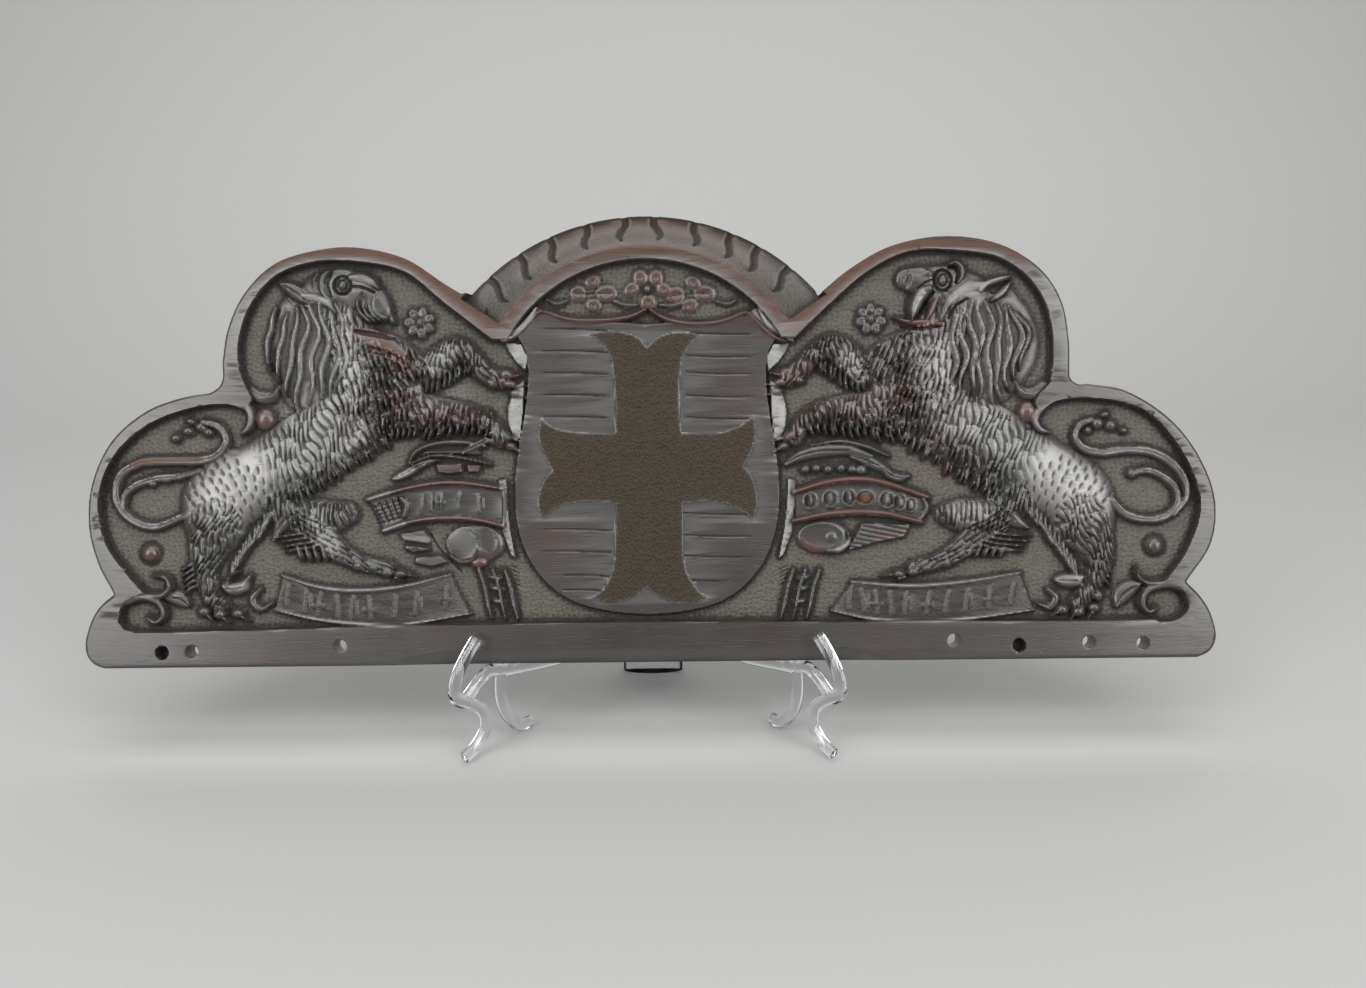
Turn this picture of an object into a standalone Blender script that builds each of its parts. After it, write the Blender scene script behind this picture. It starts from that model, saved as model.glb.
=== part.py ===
"""Carved oak heraldic pediment, leaning on the clear plastic easel that holds it up.

The carving is drawn on the face of the board: x runs along the board, y up the board and z out of it.
Drawing units are those of a drawing 1132 units long; the board's real length sets their scale.
The finished board is then stood on the easel, leaning back.
"""
import itertools
import math

import bmesh
import bpy
from mathutils import Matrix, Vector

MM = 0.001

# Driving sizes of the board, in millimetres
LENGTH = 500.0
BOARD_THICK = 11.0
GROUND_DEPTH = 4.5
COVE_EDGE = 2.2
COVE_CURVE = 1.7
LEAN_DEG = 18.5
HOLE_DIAMETER = 5.7
BLIND_DEPTH = 6.0
CHAMFER_HEIGHT = 6.4
CHAMFER_DEPTH = 3.6
SHIELD_HEIGHT = 2.1
CROSS_HEIGHT = 3.4
RIBBON_HEIGHT = 2.0
LETTER_STROKE_HEIGHT = 0.7
BURY = 1.2
ROUND_BURY = 0.45
ROUND_BURY_STEP = 0.013

# Driving sizes of the easel, in millimetres
EASEL_THICK = 5.0
STRIP_WIDTH = 6.0
STRIP_STEP = 0.1
LEDGE_HEIGHT = 40.0
HOOK_SPACING = 148.0
FRAME_TURN_DEG = 38.0
UPRIGHT_REACH = 105.0
REAR_REACH = 103.0
HOOK_RISE = 13.0
KNUCKLE_RADIUS = 4.5
KNUCKLE_HEIGHT = 40.0
BRACE_SHARE = 0.62
GAP = 0.3
CLEAR = 3.0

# The drawing: its length, its centre foot and its small turn on the sheet
DRAWING_LENGTH = 1132.0
DRAWING_CENTRE = (648.0, 663.0)
DRAWING_TURN_DEG = 0.6
UNIT = LENGTH / DRAWING_LENGTH

# Outline of the board, from the left end of the rail over the top to its right end
RAIL_LEFT = [(113, 595), (100, 606), (91, 620), (85.5, 639), (86, 654), (93, 664), (104, 668.7)]
RAIL_RIGHT = [(1198, 657.24), (1210, 651), (1216, 640), (1215, 625), (1210, 610), (1200, 595), (1187, 582)]
LOBE_LEFT_LOW = [(113, 594), (98, 566), (88, 528), (91, 484), (111, 441), (146, 411), (184, 397), (209, 393)]
WEB_LEFT = [(209, 393), (218, 387), (222, 378), (221.5, 363)]
LOBE_LEFT_HIGH = [(221.5, 363), (227, 329), (243, 294), (273, 264), (315, 250), (354, 247),
                  (404, 258), (444, 283.5), (463, 295)]
LOBE_RIGHT_HIGH = [(820, 293), (850, 268.5), (890, 246), (945, 235.5), (1000, 243.5), (1040, 267.5),
                   (1062, 300), (1070, 345), (1070, 366)]
WEB_RIGHT = [(1070, 366), (1071, 378), (1079, 384), (1088, 383.5)]
LOBE_RIGHT_LOW = [(1088, 383.5), (1125, 390), (1170, 418), (1200, 456), (1216, 500), (1212, 543), (1187, 582)]
ARCH_BACK_CENTRE = (645, 447)
ARCH_BACK_RADIUS = 235
ARCH_BACK_ENDS = ((463, 295), (820, 293))
ARCH_FRONT_CENTRE = (645, 417)
ARCH_FRONT_RADIUS = 171
ARCH_FRONT_ENDS = ((497, 335), (793, 333))

# Edge of the sunk ground, inside the rims
SUNK_LEFT_LOW = [(150, 600), (126, 574), (104, 541), (98, 498), (111, 459.5), (145, 426), (190, 408),
                 (226, 404), (244, 409)]
SUNK_HOOK_LEFT = [(244, 409), (251, 400), (245, 386), (239, 372)]
SUNK_LEFT_HIGH = [(239, 372), (237.5, 346), (248, 308), (275, 275.5), (315, 261), (357, 261), (404, 271),
                  (444, 302), (492, 339)]
SUNK_ARCH_CENTRE = (645, 417)
SUNK_ARCH_RADIUS = 159
SUNK_RIGHT_HIGH = [(795, 337), (830, 303), (870, 269), (910, 250.5), (960, 250), (1000, 257), (1030, 278),
                   (1048, 308), (1054, 350), (1051, 382)]
SUNK_HOOK_RIGHT = [(1051, 382), (1042, 392), (1036, 402), (1040, 412)]
SUNK_RIGHT_LOW = [(1040, 412), (1056, 401), (1097, 398), (1145, 410), (1180, 447), (1201, 500), (1190, 545),
                  (1160, 590)]
SUNK_FOOT = [(1160, 620), (900, 622), (648, 622), (400, 626), (240, 631), (120, 632), (118, 610)]

# Screw holes in the rail, and whether each goes through
HOLES = [((162, 653), False), ((192, 652), True), ((340, 646), True), ((954, 640), True),
         ((1019, 645), False), ((1089, 642), True), ((1143, 643), True)]
CHAMFER_ENDS = (380, 905)
CHAMFER_RUN_OUT = 80
CHAMFER_LEAST = 0.03

# Shield and cross
SHIELD_HALF = [(0, 322), (28, 320), (70, 320), (100, 312), (109, 304), (118, 322), (132, 336), (122, 350),
               (121, 372), (124, 410), (128, 440), (133, 480), (131, 535), (118, 575), (94, 602), (50, 616),
               (0, 621)]
CROSS_ARM = 35
CROSS_TOP = 336
CROSS_FOOT = 599
CROSS_BAR = (432, 504)
CROSS_REACH = 106
SHIELD_CENTRE = 647.5
QUARTER_LINES = ((-1, (330, 352, 374, 396, 418)), (1, (332, 355, 372, 395, 417)),
                 (-1, (531, 553, 577, 592)), (1, (513, 535, 556, 580)))
LINE_START = 44
LINE_REACH = 92
LINE_REACH_SHORT = 76
LINE_SHORT_BELOW = 560
LINE_RADIUS = 0.45

# Limbs of the lions: (x, y, half width) along each, in drawing units, then how proud each stands, in mm
LION_RIGHT = {
    "body": ([(905, 385, 34), (950, 418, 38), (1000, 445, 37), (1045, 473, 36), (1078, 500, 30)], 3.9),
    "neck": ([(945, 318, 26), (930, 345, 30), (925, 375, 34)], 3.7),
    "skull": ([(966, 284, 19), (944, 282, 21), (925, 284, 17)], 4.0),
    "muzzle": ([(925, 284, 16), (907, 280, 15), (899, 282, 11)], 3.6),
    "lip": ([(925, 291, 6), (918, 304, 6.5), (912, 317, 4)], 4.6),
    "jaw": ([(942, 326, 8), (925, 332, 7), (906, 333, 4)], 3.4),
    "tongue": ([(925, 320, 4), (905, 321, 4), (895, 326, 2.5)], 2.4),
    "ear": ([(981, 287, 5), (993, 280, 5), (1004, 278, 2.5)], 4.4),
    "brow": ([(951, 265, 4), (957, 273, 5), (963, 284, 4)], 4.6),
    "mane": ([(985, 312, 34), (990, 345, 40), (995, 378, 30)], 3.6),
    "upper_arm": ([(905, 372, 22), (865, 360, 16), (830, 355, 13), (808, 368, 12), (788, 384, 11)], 3.8),
    "lower_arm": ([(905, 410, 18), (865, 413, 15), (830, 412, 12), (805, 430, 12), (786, 445, 9)], 3.8),
    "haunch": ([(1068, 480, 34), (1078, 505, 37), (1088, 530, 28), (1092, 556, 18), (1085, 588, 13),
                (1072, 606, 11)], 4.2),
    "thigh": ([(1012, 508, 24), (988, 530, 20), (966, 552, 14), (935, 562, 12), (905, 568, 9)], 3.2),
}
LION_LEFT = {
    "body": ([(388, 388, 34), (345, 425, 38), (300, 455, 37), (252, 485, 36), (220, 503, 30)], 3.9),
    "neck": ([(345, 322, 26), (358, 348, 30), (365, 378, 34)], 3.7),
    "skull": ([(316, 286, 19), (338, 284, 21), (356, 286, 17)], 4.0),
    "muzzle": ([(356, 286, 16), (373, 284, 15), (381, 287, 11)], 3.6),
    "lip": ([(358, 297, 6), (366, 311, 6.5), (378, 322, 4)], 4.6),
    "jaw": ([(348, 328, 8), (366, 334, 7), (384, 336, 4)], 3.4),
    "tongue": ([(366, 322, 4), (380, 320, 4), (390, 322, 2.5)], 2.4),
    "ear": ([(305, 292, 5), (295, 286, 5), (284, 286, 2.5)], 4.4),
    "brow": ([(330, 268, 4), (324, 279, 5), (318, 291, 4)], 4.6),
    "mane": ([(298, 318, 34), (298, 350, 40), (300, 380, 30)], 3.6),
    "upper_arm": ([(390, 374, 22), (428, 361, 16), (462, 356, 13), (486, 372, 12), (507, 387, 11)], 3.8),
    "lower_arm": ([(388, 410, 18), (430, 412, 15), (468, 411, 12), (492, 428, 12), (510, 444, 9)], 3.8),
    "haunch": ([(232, 482, 34), (218, 505, 37), (212, 532, 28), (208, 560, 18), (213, 588, 13),
                (220, 606, 11)], 4.2),
    "thigh": ([(285, 510, 24), (310, 532, 20), (334, 553, 14), (362, 564, 12), (392, 569, 9)], 3.2),
}

# Locks of each mane, wavy ridges that end in points
MANE_LOCKS = 5
MANE_RIGHT = ((960, 1030, 308), (962, 1024, 398))
MANE_LEFT = ((325, 262, 308), (322, 278, 400))
LOCK_HALF_WIDTH = 5.5
LOCK_HEIGHT = 4.4
LOCK_SWAY = 5.0
LOCK_DROP = 8.0
LOCK_STEPS = 4

# Tails: (x, y, half width)
TAILS = [
    ([(1108, 500, 5), (1135, 513, 5), (1160, 517, 5), (1177, 505, 5), (1170, 487, 5), (1155, 475, 5),
      (1136, 474, 6)], 2.6),
    ([(1176, 512, 4), (1188, 495, 4), (1181, 470, 5), (1160, 455, 5), (1128, 450, 5), (1097, 449, 5),
      (1080, 438, 5), (1079, 422, 5), (1095, 420, 7), (1120, 430, 6)], 2.8),
    ([(190, 508, 5), (150, 526, 5), (122, 514, 5), (113, 495, 5), (120, 472, 5), (142, 461, 5), (175, 459, 5),
      (207, 454, 5), (223, 443, 5), (217, 426, 5), (198, 424, 7), (176, 436, 6)], 2.8),
    ([(121, 508, 4), (130, 489, 4), (150, 482, 5), (180, 479, 6)], 2.2),
]

# Small carved forms: centre, half width, half height, how proud in mm, turn in degrees
BALLS = [((1158, 545), 9, 2.4), ((147, 553), 9, 2.4), ((262, 417), 10, 3.4), ((1030, 410), 10, 3.4)]
ROSETTES = [((872, 318), 16), ((418, 322), 16)]
ROSETTE_PETALS = 5
LEAVES = [((646, 276), 9, 12, 1.6, 0), ((645, 301), 12, 9, 1.6, 0), ((628, 288), 8, 6, 1.4, 40),
          ((664, 288), 8, 6, 1.4, -40), ((578, 292), 9, 8, 1.5, 0), ((604, 292), 11, 7, 1.5, 0),
          ((592, 303), 9, 6, 1.4, 0), ((594, 281), 8, 5, 1.4, 20), ((676, 292), 11, 8, 1.5, 0),
          ((702, 292), 11, 8, 1.5, 0), ((690, 303), 9, 6, 1.4, 0), ((694, 280), 8, 5, 1.4, -20)]
CROWN_LEAVES = [((488, 446), 14, 12, 2.8, 20), ((452, 452), 16, 10, 2.8, -10), ((418, 466), 16, 8, 2.6, -25),
                ((480, 470), 22, 6, 2.2, 0), ((812, 444), 14, 12, 2.8, -20), ((848, 452), 16, 10, 2.8, 10),
                ((882, 468), 16, 8, 2.6, 25), ((826, 470), 22, 6, 2.2, 0)]
CAPS = [((474, 542), 24, 17, 2.0, 0), ((826, 538), 24, 16, 2.0, 0)]
LAPPETS = [((428, 545), 26, 12, 1.6, -20), ((884, 536), 28, 11, 1.6, 15)]
TOES = [((1062, 611), 9, 6, 3.4, 0), ((1081, 611), 9, 6, 3.4, 0), ((1099, 607), 9, 6, 3.2, 0),
        ((200, 614), 9, 7, 3.4, 0), ((219, 617), 9, 6, 3.4, 0), ((238, 614), 9, 6, 3.2, 0),
        ((884, 570), 9, 5, 3.0, 10), ((900, 576), 9, 5, 3.0, 10), ((918, 577), 8, 5, 2.8, 0),
        ((372, 577), 9, 5, 3.0, 0), ((388, 576), 9, 5, 3.0, -10), ((402, 570), 8, 5, 2.8, -10),
        ((780, 379), 9, 6, 4.2, 25), ((778, 392), 8, 5, 4.0, 10), ((514, 381), 9, 6, 4.2, -25),
        ((514, 394), 8, 5, 4.0, -10), ((781, 438), 8, 6, 4.2, 30), ((784, 452), 8, 5, 4.0, 15),
        ((512, 436), 8, 6, 4.2, -30), ((508, 450), 8, 5, 4.0, -15)]
CURLS = [([(214, 592, 4), (226, 583, 5), (240, 588, 5), (250, 580, 4)], 2.6),
         ([(1084, 590, 4), (1072, 580, 5), (1058, 585, 5), (1050, 577, 4)], 2.6),
         ([(152, 571, 3), (166, 580, 4), (165, 592, 4), (150, 600, 4), (132, 600, 4), (124, 612, 4),
           (134, 622, 4), (147, 615, 3)], 2.8),
         ([(1148, 562, 3), (1138, 571, 4), (1142, 583, 4), (1158, 588, 4), (1172, 590, 4), (1180, 602, 4),
           (1170, 612, 4), (1158, 605, 3)], 2.8),
         ([(244, 409, 4), (250, 417, 4), (247, 428, 3.5), (240, 433, 2.5)], 3.6),
         ([(1040, 412, 4), (1036, 420, 4), (1040, 430, 3.5), (1047, 434, 2.5)], 3.6)]

# Ribbons and bands: a middle line and a half width; raised strokes stand along each
RIBBONS = [([(282, 594), (320, 604), (370, 607), (420, 602), (462, 592)], 16),
           ([(838, 592), (880, 597), (930, 600), (980, 598), (1024, 590)], 16)]
RIBBON_STROKE_COUNT = 6
BANDS = [([(392, 512), (425, 506), (462, 502), (500, 502)], 15),
         ([(797, 500), (832, 497), (870, 499), (924, 508)], 15)]
BAND_RAIL_HALF_WIDTH = 2.6
BAND_STROKE_COUNT = 5
FOLDS = [([(478, 572), (486, 595), (482, 618)], 7), ([(500, 566), (502, 592), (498, 616)], 6),
         ([(818, 567), (812, 590), (816, 612)], 7), ([(798, 562), (796, 588), (800, 612)], 6)]

# Gouge notches of the cove: their count, where the outer ones stand along the arch, and the bent run of
# each from behind the back edge to its point: (share of the cove's depth, sway along the arch, radius in mm)
NOTCH_COUNT = 10
NOTCH_MARGIN = 0.065
NOTCH_RAISE = 0.35
NOTCH_RUN = [(1.25, 0.0, 1.6), (0.86, -0.012, 1.6), (0.66, 0.002, 1.9), (0.48, 0.016, 2.2), (0.3, 0.006, 0.9)]

# How finely the long curves are cut into straight pieces
ARCH_STEPS = 18
COVE_PROFILE = [0.0, 0.2, 0.5, 1.0]
CHAMFER_STEPS = 12
HOLE_SIDES = 10


def at(x, y):
    """A point of the drawing on the face of the board, in metres."""
    turn = math.radians(DRAWING_TURN_DEG)
    dx = x - DRAWING_CENTRE[0]
    dy = DRAWING_CENTRE[1] - y
    along = dx * math.cos(turn) + dy * math.sin(turn)
    up = dy * math.cos(turn) - dx * math.sin(turn)
    return Vector((along * UNIT * MM, up * UNIT * MM, 0.0))


def smooth(points, steps):
    """Points along a smooth open curve through the given tuples, with knots spaced by distance."""
    def gap(p, q):
        return max(math.dist(p[:2], q[:2]), 1e-6) ** 0.5

    def blend(p, q, start, end, t):
        return [(a * (end - t) + b * (t - start)) / (end - start) for a, b in zip(p, q)]

    first = [2 * a - b for a, b in zip(points[0], points[1])]
    last = [2 * a - b for a, b in zip(points[-1], points[-2])]
    ends = [first] + list(points) + [last]
    out = []
    for i in range(1, len(ends) - 2):
        a, b, c, d = ends[i - 1:i + 3]
        k1 = gap(a, b)
        k2 = k1 + gap(b, c)
        k3 = k2 + gap(c, d)
        for step in range(steps):
            t = k1 + (k2 - k1) * step / steps
            ab = blend(a, b, 0.0, k1, t)
            bc = blend(b, c, k1, k2, t)
            cd = blend(c, d, k2, k3, t)
            out.append(tuple(blend(blend(ab, bc, 0.0, k2, t), blend(bc, cd, k1, k3, t), k1, k2, t)))
    out.append(tuple(points[-1]))
    return out


def arc(centre, radius, start, end, steps):
    """Points of the arc about centre that runs from near start to near end over the top."""
    first = math.atan2(start[1] - centre[1], start[0] - centre[0])
    last = math.atan2(end[1] - centre[1], end[0] - centre[0])
    return [(centre[0] + radius * math.cos(first + (last - first) * i / steps),
             centre[1] + radius * math.sin(first + (last - first) * i / steps)) for i in range(steps + 1)]


def material(name, colour, roughness, metallic=0.0, transmission=0.0):
    made = bpy.data.materials.new(name)
    made.use_nodes = True
    shader = made.node_tree.nodes["Principled BSDF"]
    shader.inputs["Base Color"].default_value = (*colour, 1.0)
    shader.inputs["Roughness"].default_value = roughness
    shader.inputs["Metallic"].default_value = metallic
    shader.inputs["Transmission Weight"].default_value = transmission
    return made


def new_object(name, data, collection):
    made = bpy.data.objects.new(name, data)
    collection.objects.link(made)
    return made


def to_mesh(curve_object):
    """Turn a curve object into a closed mesh object and remove the curve."""
    graph = bpy.context.evaluated_depsgraph_get()
    mesh = bpy.data.meshes.new_from_object(curve_object.evaluated_get(graph))
    cage = bmesh.new()
    cage.from_mesh(mesh)
    bmesh.ops.remove_doubles(cage, verts=cage.verts, dist=1e-6)
    bmesh.ops.recalc_face_normals(cage, faces=cage.faces)
    cage.to_mesh(mesh)
    cage.free()
    made = new_object(curve_object.name + "_mesh", mesh, curve_object.users_collection[0])
    made.matrix_world = curve_object.matrix_world
    bpy.data.objects.remove(curve_object)
    return made


def plate(name, outline, low, high, collection):
    """A flat plate with this outline (metres), from height low to height high (mm)."""
    curve = bpy.data.curves.new(name, "CURVE")
    curve.dimensions = "2D"
    curve.fill_mode = "BOTH"
    spline = curve.splines.new("POLY")
    spline.points.add(len(outline) - 1)
    for point, place in zip(spline.points, outline):
        point.co = (place[0], place[1], 0.0, 1.0)
    spline.use_cyclic_u = True
    curve.extrude = (high - low) / 2 * MM
    made = new_object(name, curve, collection)
    made.location.z = (high + low) / 2 * MM
    bpy.context.view_layer.update()
    return to_mesh(made)


def tube(name, places, radii, collection, sides=2):
    """A round tube through the places, its radius given at each, all in metres."""
    curve = bpy.data.curves.new(name, "CURVE")
    curve.dimensions = "3D"
    curve.bevel_depth = 1.0
    curve.bevel_resolution = sides
    curve.use_fill_caps = True
    spline = curve.splines.new("POLY")
    spline.points.add(len(places) - 1)
    for point, place, radius in zip(spline.points, places, radii):
        point.co = (*place, 1.0)
        point.radius = radius
    return to_mesh(new_object(name, curve, collection))


def bury_depths():
    """How far under the ground (mm) the middle of each round form lies, no two of them alike."""
    for order in itertools.count():
        yield ROUND_BURY + ROUND_BURY_STEP * (order % 41)


BURIED = bury_depths()


def flatten(piece, height, wide):
    """Press a round form down to its height (mm) over the sunk ground."""
    bury = next(BURIED)
    for vertex in piece.data.vertices:
        vertex.co.z = vertex.co.z * (height + bury) / wide - (GROUND_DEPTH + bury) * MM


def limb(name, line, height, collection, steps=2, sides=2):
    """A half-round carved limb on the sunk ground, through (x, y, half width) points of the drawing."""
    run = smooth(line, steps)
    widest = max(point[2] for point in run) * UNIT
    piece = tube(name, [at(x, y) for x, y, half in run], [half * UNIT * MM for x, y, half in run],
                 collection, sides)
    flatten(piece, height, widest)
    return piece


def dome(name, centre, half_wide, half_high, height, turn, collection, segments=8):
    """A low rounded swelling on the sunk ground."""
    bpy.ops.mesh.primitive_uv_sphere_add(segments=segments, ring_count=4, radius=1.0)
    piece = bpy.context.active_object
    piece.name = name
    for owner in piece.users_collection:
        owner.objects.unlink(piece)
    collection.objects.link(piece)
    place = at(*centre)
    bury = next(BURIED)
    place.z = (-GROUND_DEPTH - bury) * MM
    tall = (height + bury) * MM
    size = Matrix.Diagonal((half_wide * UNIT * MM, half_high * UNIT * MM, tall, 1.0))
    piece.data.transform(Matrix.Translation(place) @ Matrix.Rotation(math.radians(turn), 4, "Z") @ size)
    return piece


def loft(name, sections, collection):
    """A closed solid through rings of equal count, for a cutter whose section changes along its run."""
    cage = bmesh.new()
    rings = [[cage.verts.new(place) for place in section] for section in sections]
    for ring, following in zip(rings, rings[1:]):
        for i in range(len(ring)):
            j = (i + 1) % len(ring)
            cage.faces.new((ring[i], ring[j], following[j], following[i]))
    cage.faces.new(rings[0])
    cage.faces.new(rings[-1])
    bmesh.ops.recalc_face_normals(cage, faces=cage.faces)
    mesh = bpy.data.meshes.new(name)
    cage.to_mesh(mesh)
    cage.free()
    return new_object(name, mesh, collection)


def join(name, pieces, collection):
    """Gather several meshes in one object, still separate bodies until a union joins them."""
    cage = bmesh.new()
    for piece in pieces:
        mesh = piece.data.copy()
        mesh.transform(piece.matrix_world)
        cage.from_mesh(mesh)
        bpy.data.meshes.remove(mesh)
        bpy.data.objects.remove(piece)
    mesh = bpy.data.meshes.new(name)
    cage.to_mesh(mesh)
    cage.free()
    return new_object(name, mesh, collection)


def boolean(target, tool, operation, solver="EXACT"):
    """Cut or join tool into target and keep the result as target's own mesh."""
    change = target.modifiers.new(operation.lower(), "BOOLEAN")
    change.operation = operation
    change.solver = solver
    change.object = tool
    graph = bpy.context.evaluated_depsgraph_get()
    mesh = bpy.data.meshes.new_from_object(target.evaluated_get(graph))
    target.modifiers.clear()
    target.data = mesh
    bpy.data.objects.remove(tool)


def board_outline():
    arch = arc(ARCH_BACK_CENTRE, ARCH_BACK_RADIUS, *ARCH_BACK_ENDS, ARCH_STEPS)
    left = smooth(LOBE_LEFT_LOW, 2)[1:] + smooth(WEB_LEFT, 2)[1:] + smooth(LOBE_LEFT_HIGH, 2)[1:]
    right = smooth(LOBE_RIGHT_HIGH, 2) + smooth(WEB_RIGHT, 2)[1:] + smooth(LOBE_RIGHT_LOW, 2)[1:]
    rail = smooth(RAIL_RIGHT, 2)[::-1][1:] + smooth(RAIL_LEFT, 2)[::-1]
    return [at(*point) for point in left[:-1] + arch[1:-1] + right + rail]


def sunk_outline():
    arch = arc(SUNK_ARCH_CENTRE, SUNK_ARCH_RADIUS, SUNK_LEFT_HIGH[-1], SUNK_RIGHT_HIGH[0], ARCH_STEPS)
    left = smooth(SUNK_LEFT_LOW, 2) + smooth(SUNK_HOOK_LEFT, 2)[1:] + smooth(SUNK_LEFT_HIGH, 2)[1:]
    right = smooth(SUNK_RIGHT_HIGH, 2) + smooth(SUNK_HOOK_RIGHT, 2)[1:] + smooth(SUNK_RIGHT_LOW, 2)[1:]
    return [at(*point) for point in left + arch[1:-1] + right + SUNK_FOOT]


def cove_point(share, depth_share, outward=0.0):
    """A point of the arch's cove: share along the arch, depth_share from its front arris to its back."""
    def on_circle(centre, radius, ends):
        first = math.atan2(ends[0][1] - centre[1], ends[0][0] - centre[0])
        last = math.atan2(ends[1][1] - centre[1], ends[1][0] - centre[0])
        angle = first + (last - first) * share
        return at(centre[0] + radius * math.cos(angle), centre[1] + radius * math.sin(angle))
    front = on_circle(ARCH_FRONT_CENTRE, ARCH_FRONT_RADIUS, ARCH_FRONT_ENDS)
    back = on_circle(ARCH_BACK_CENTRE, ARCH_BACK_RADIUS, ARCH_BACK_ENDS)
    place = front + (back - front) * (depth_share + outward)
    deep = (BOARD_THICK - COVE_EDGE) * (1 - (1 - min(depth_share, 1.0)) ** COVE_CURVE)
    place.z = -deep * MM
    return place


def cut_cove(board, cutters):
    """Hollow the arch's top into a cove that falls from its front arris to its thin back edge."""
    sections = []
    for i in range(ARCH_STEPS + 1):
        share = i / ARCH_STEPS
        ring = [cove_point(share, depth_share) for depth_share in COVE_PROFILE]
        outer = cove_point(share, 1.0, outward=0.4)
        above = Vector((outer.x, outer.y, CLEAR * MM))
        front_above = Vector((ring[0].x, ring[0].y, CLEAR * MM))
        sections.append(ring + [outer, above, front_above])
    boolean(board, loft("cove_cutter", sections, cutters), "DIFFERENCE")


def cut_notches(board, cutters):
    """Carve the bent gouge notches along the cove, mirrored about its middle."""
    tools = []
    for i in range(NOTCH_COUNT):
        share = NOTCH_MARGIN + (1.0 - 2.0 * NOTCH_MARGIN) * i / (NOTCH_COUNT - 1)
        side = -1.0 if i < NOTCH_COUNT / 2 else 1.0
        places = []
        for deep, sway, radius in NOTCH_RUN:
            place = cove_point(share + side * sway, deep)
            place.z += NOTCH_RAISE * radius * MM
            places.append(place)
        radii = [radius * MM for deep, sway, radius in NOTCH_RUN]
        tools.append(tube("notch_cutter", places, radii, cutters, 0))
    for tool in tools:
        boolean(board, tool, "DIFFERENCE")


def cut_chamfer(board, cutters):
    """Take off the rail's lower front edge between two curved run-outs."""
    clear = CLEAR * MM
    sections = []
    for i in range(CHAMFER_STEPS + 1):
        x = CHAMFER_ENDS[0] + (CHAMFER_ENDS[1] - CHAMFER_ENDS[0]) * i / CHAMFER_STEPS
        inward = min(x - CHAMFER_ENDS[0], CHAMFER_ENDS[1] - x) / CHAMFER_RUN_OUT
        share = max(CHAMFER_LEAST, math.sin(min(inward, 1.0) * math.pi / 2))
        foot = at(x, DRAWING_CENTRE[1]).x
        height = CHAMFER_HEIGHT * share * MM
        depth = CHAMFER_DEPTH * share * MM
        profile = [(height, 0.0), (0.0, -depth), (-clear, -depth), (-clear, clear), (height, clear)]
        sections.append([Vector((foot, up, out)) for up, out in profile])
    boolean(board, loft("chamfer_cutter", sections, cutters), "DIFFERENCE")


def cut_holes(board, cutters):
    """Bore the screw holes through the rail; two of them stop short."""
    tools = []
    for centre, through in HOLES:
        deep = BOARD_THICK + CLEAR if through else BLIND_DEPTH
        bpy.ops.mesh.primitive_cylinder_add(vertices=HOLE_SIDES, radius=HOLE_DIAMETER / 2 * MM,
                                            depth=2 * deep * MM)
        tool = bpy.context.active_object
        tool.location = at(*centre)
        bpy.context.view_layer.update()
        tools.append(tool)
    boolean(board, join("hole_cutters", tools, cutters), "DIFFERENCE")


def shield_outline():
    right = [(SHIELD_CENTRE + x, y) for x, y in SHIELD_HALF]
    left = [(SHIELD_CENTRE - x, y) for x, y in SHIELD_HALF[1:-1]]
    return [at(*point) for point in right + left[::-1]]


def cross_outline():
    """A cross moline: four arms that fork into two curled tips, the upright longer than the bar."""
    bar_top, bar_foot = CROSS_BAR
    middle = (bar_top + bar_foot) / 2
    half_bar = (bar_foot - bar_top) / 2
    upper = [(0, CROSS_TOP + 8), (20, CROSS_TOP + 5), (50, CROSS_TOP), (40, CROSS_TOP + 18),
             (CROSS_ARM, CROSS_TOP + 36), (CROSS_ARM, bar_top), (75, bar_top), (95, bar_top - 7),
             (CROSS_REACH, bar_top - 17), (CROSS_REACH, bar_top + 10), (CROSS_REACH - 8, middle)]
    lower = [(CROSS_REACH, middle + half_bar - 14), (CROSS_REACH, bar_foot + 15), (94, bar_foot + 6),
             (74, bar_foot + 1), (CROSS_ARM, bar_foot), (CROSS_ARM, CROSS_FOOT - 30), (42, CROSS_FOOT - 14),
             (58, CROSS_FOOT), (26, CROSS_FOOT), (0, CROSS_FOOT - 9)]
    right = upper + lower
    left = [(-x, y) for x, y in right[-2:0:-1]]
    return [at(SHIELD_CENTRE + x, y) for x, y in right + left]


def shield(relief):
    """The shield's field with its bevelled edge, and the raised cross on it."""
    ground = -GROUND_DEPTH
    field = plate("shield", shield_outline(), ground - BURY, ground + SHIELD_HEIGHT, relief)
    cross = plate("cross", cross_outline(), ground - BURY, ground + CROSS_HEIGHT, relief)
    return [field, cross]


def cut_field_lines(board, cutters):
    """Incise the level lines of the shield's four quarters."""
    tools = []
    top = (SHIELD_HEIGHT - GROUND_DEPTH) * MM
    for side, rows in QUARTER_LINES:
        for y in rows:
            reach = LINE_REACH if y < LINE_SHORT_BELOW else LINE_REACH_SHORT
            ends = [at(SHIELD_CENTRE + side * LINE_START, y), at(SHIELD_CENTRE + side * reach, y)]
            for end in ends:
                end.z = top
            tools.append(tube("line_cutter", ends, [LINE_RADIUS * MM] * 2, cutters, 0))
    boolean(board, join("line_cutters", tools, cutters), "DIFFERENCE")


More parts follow.
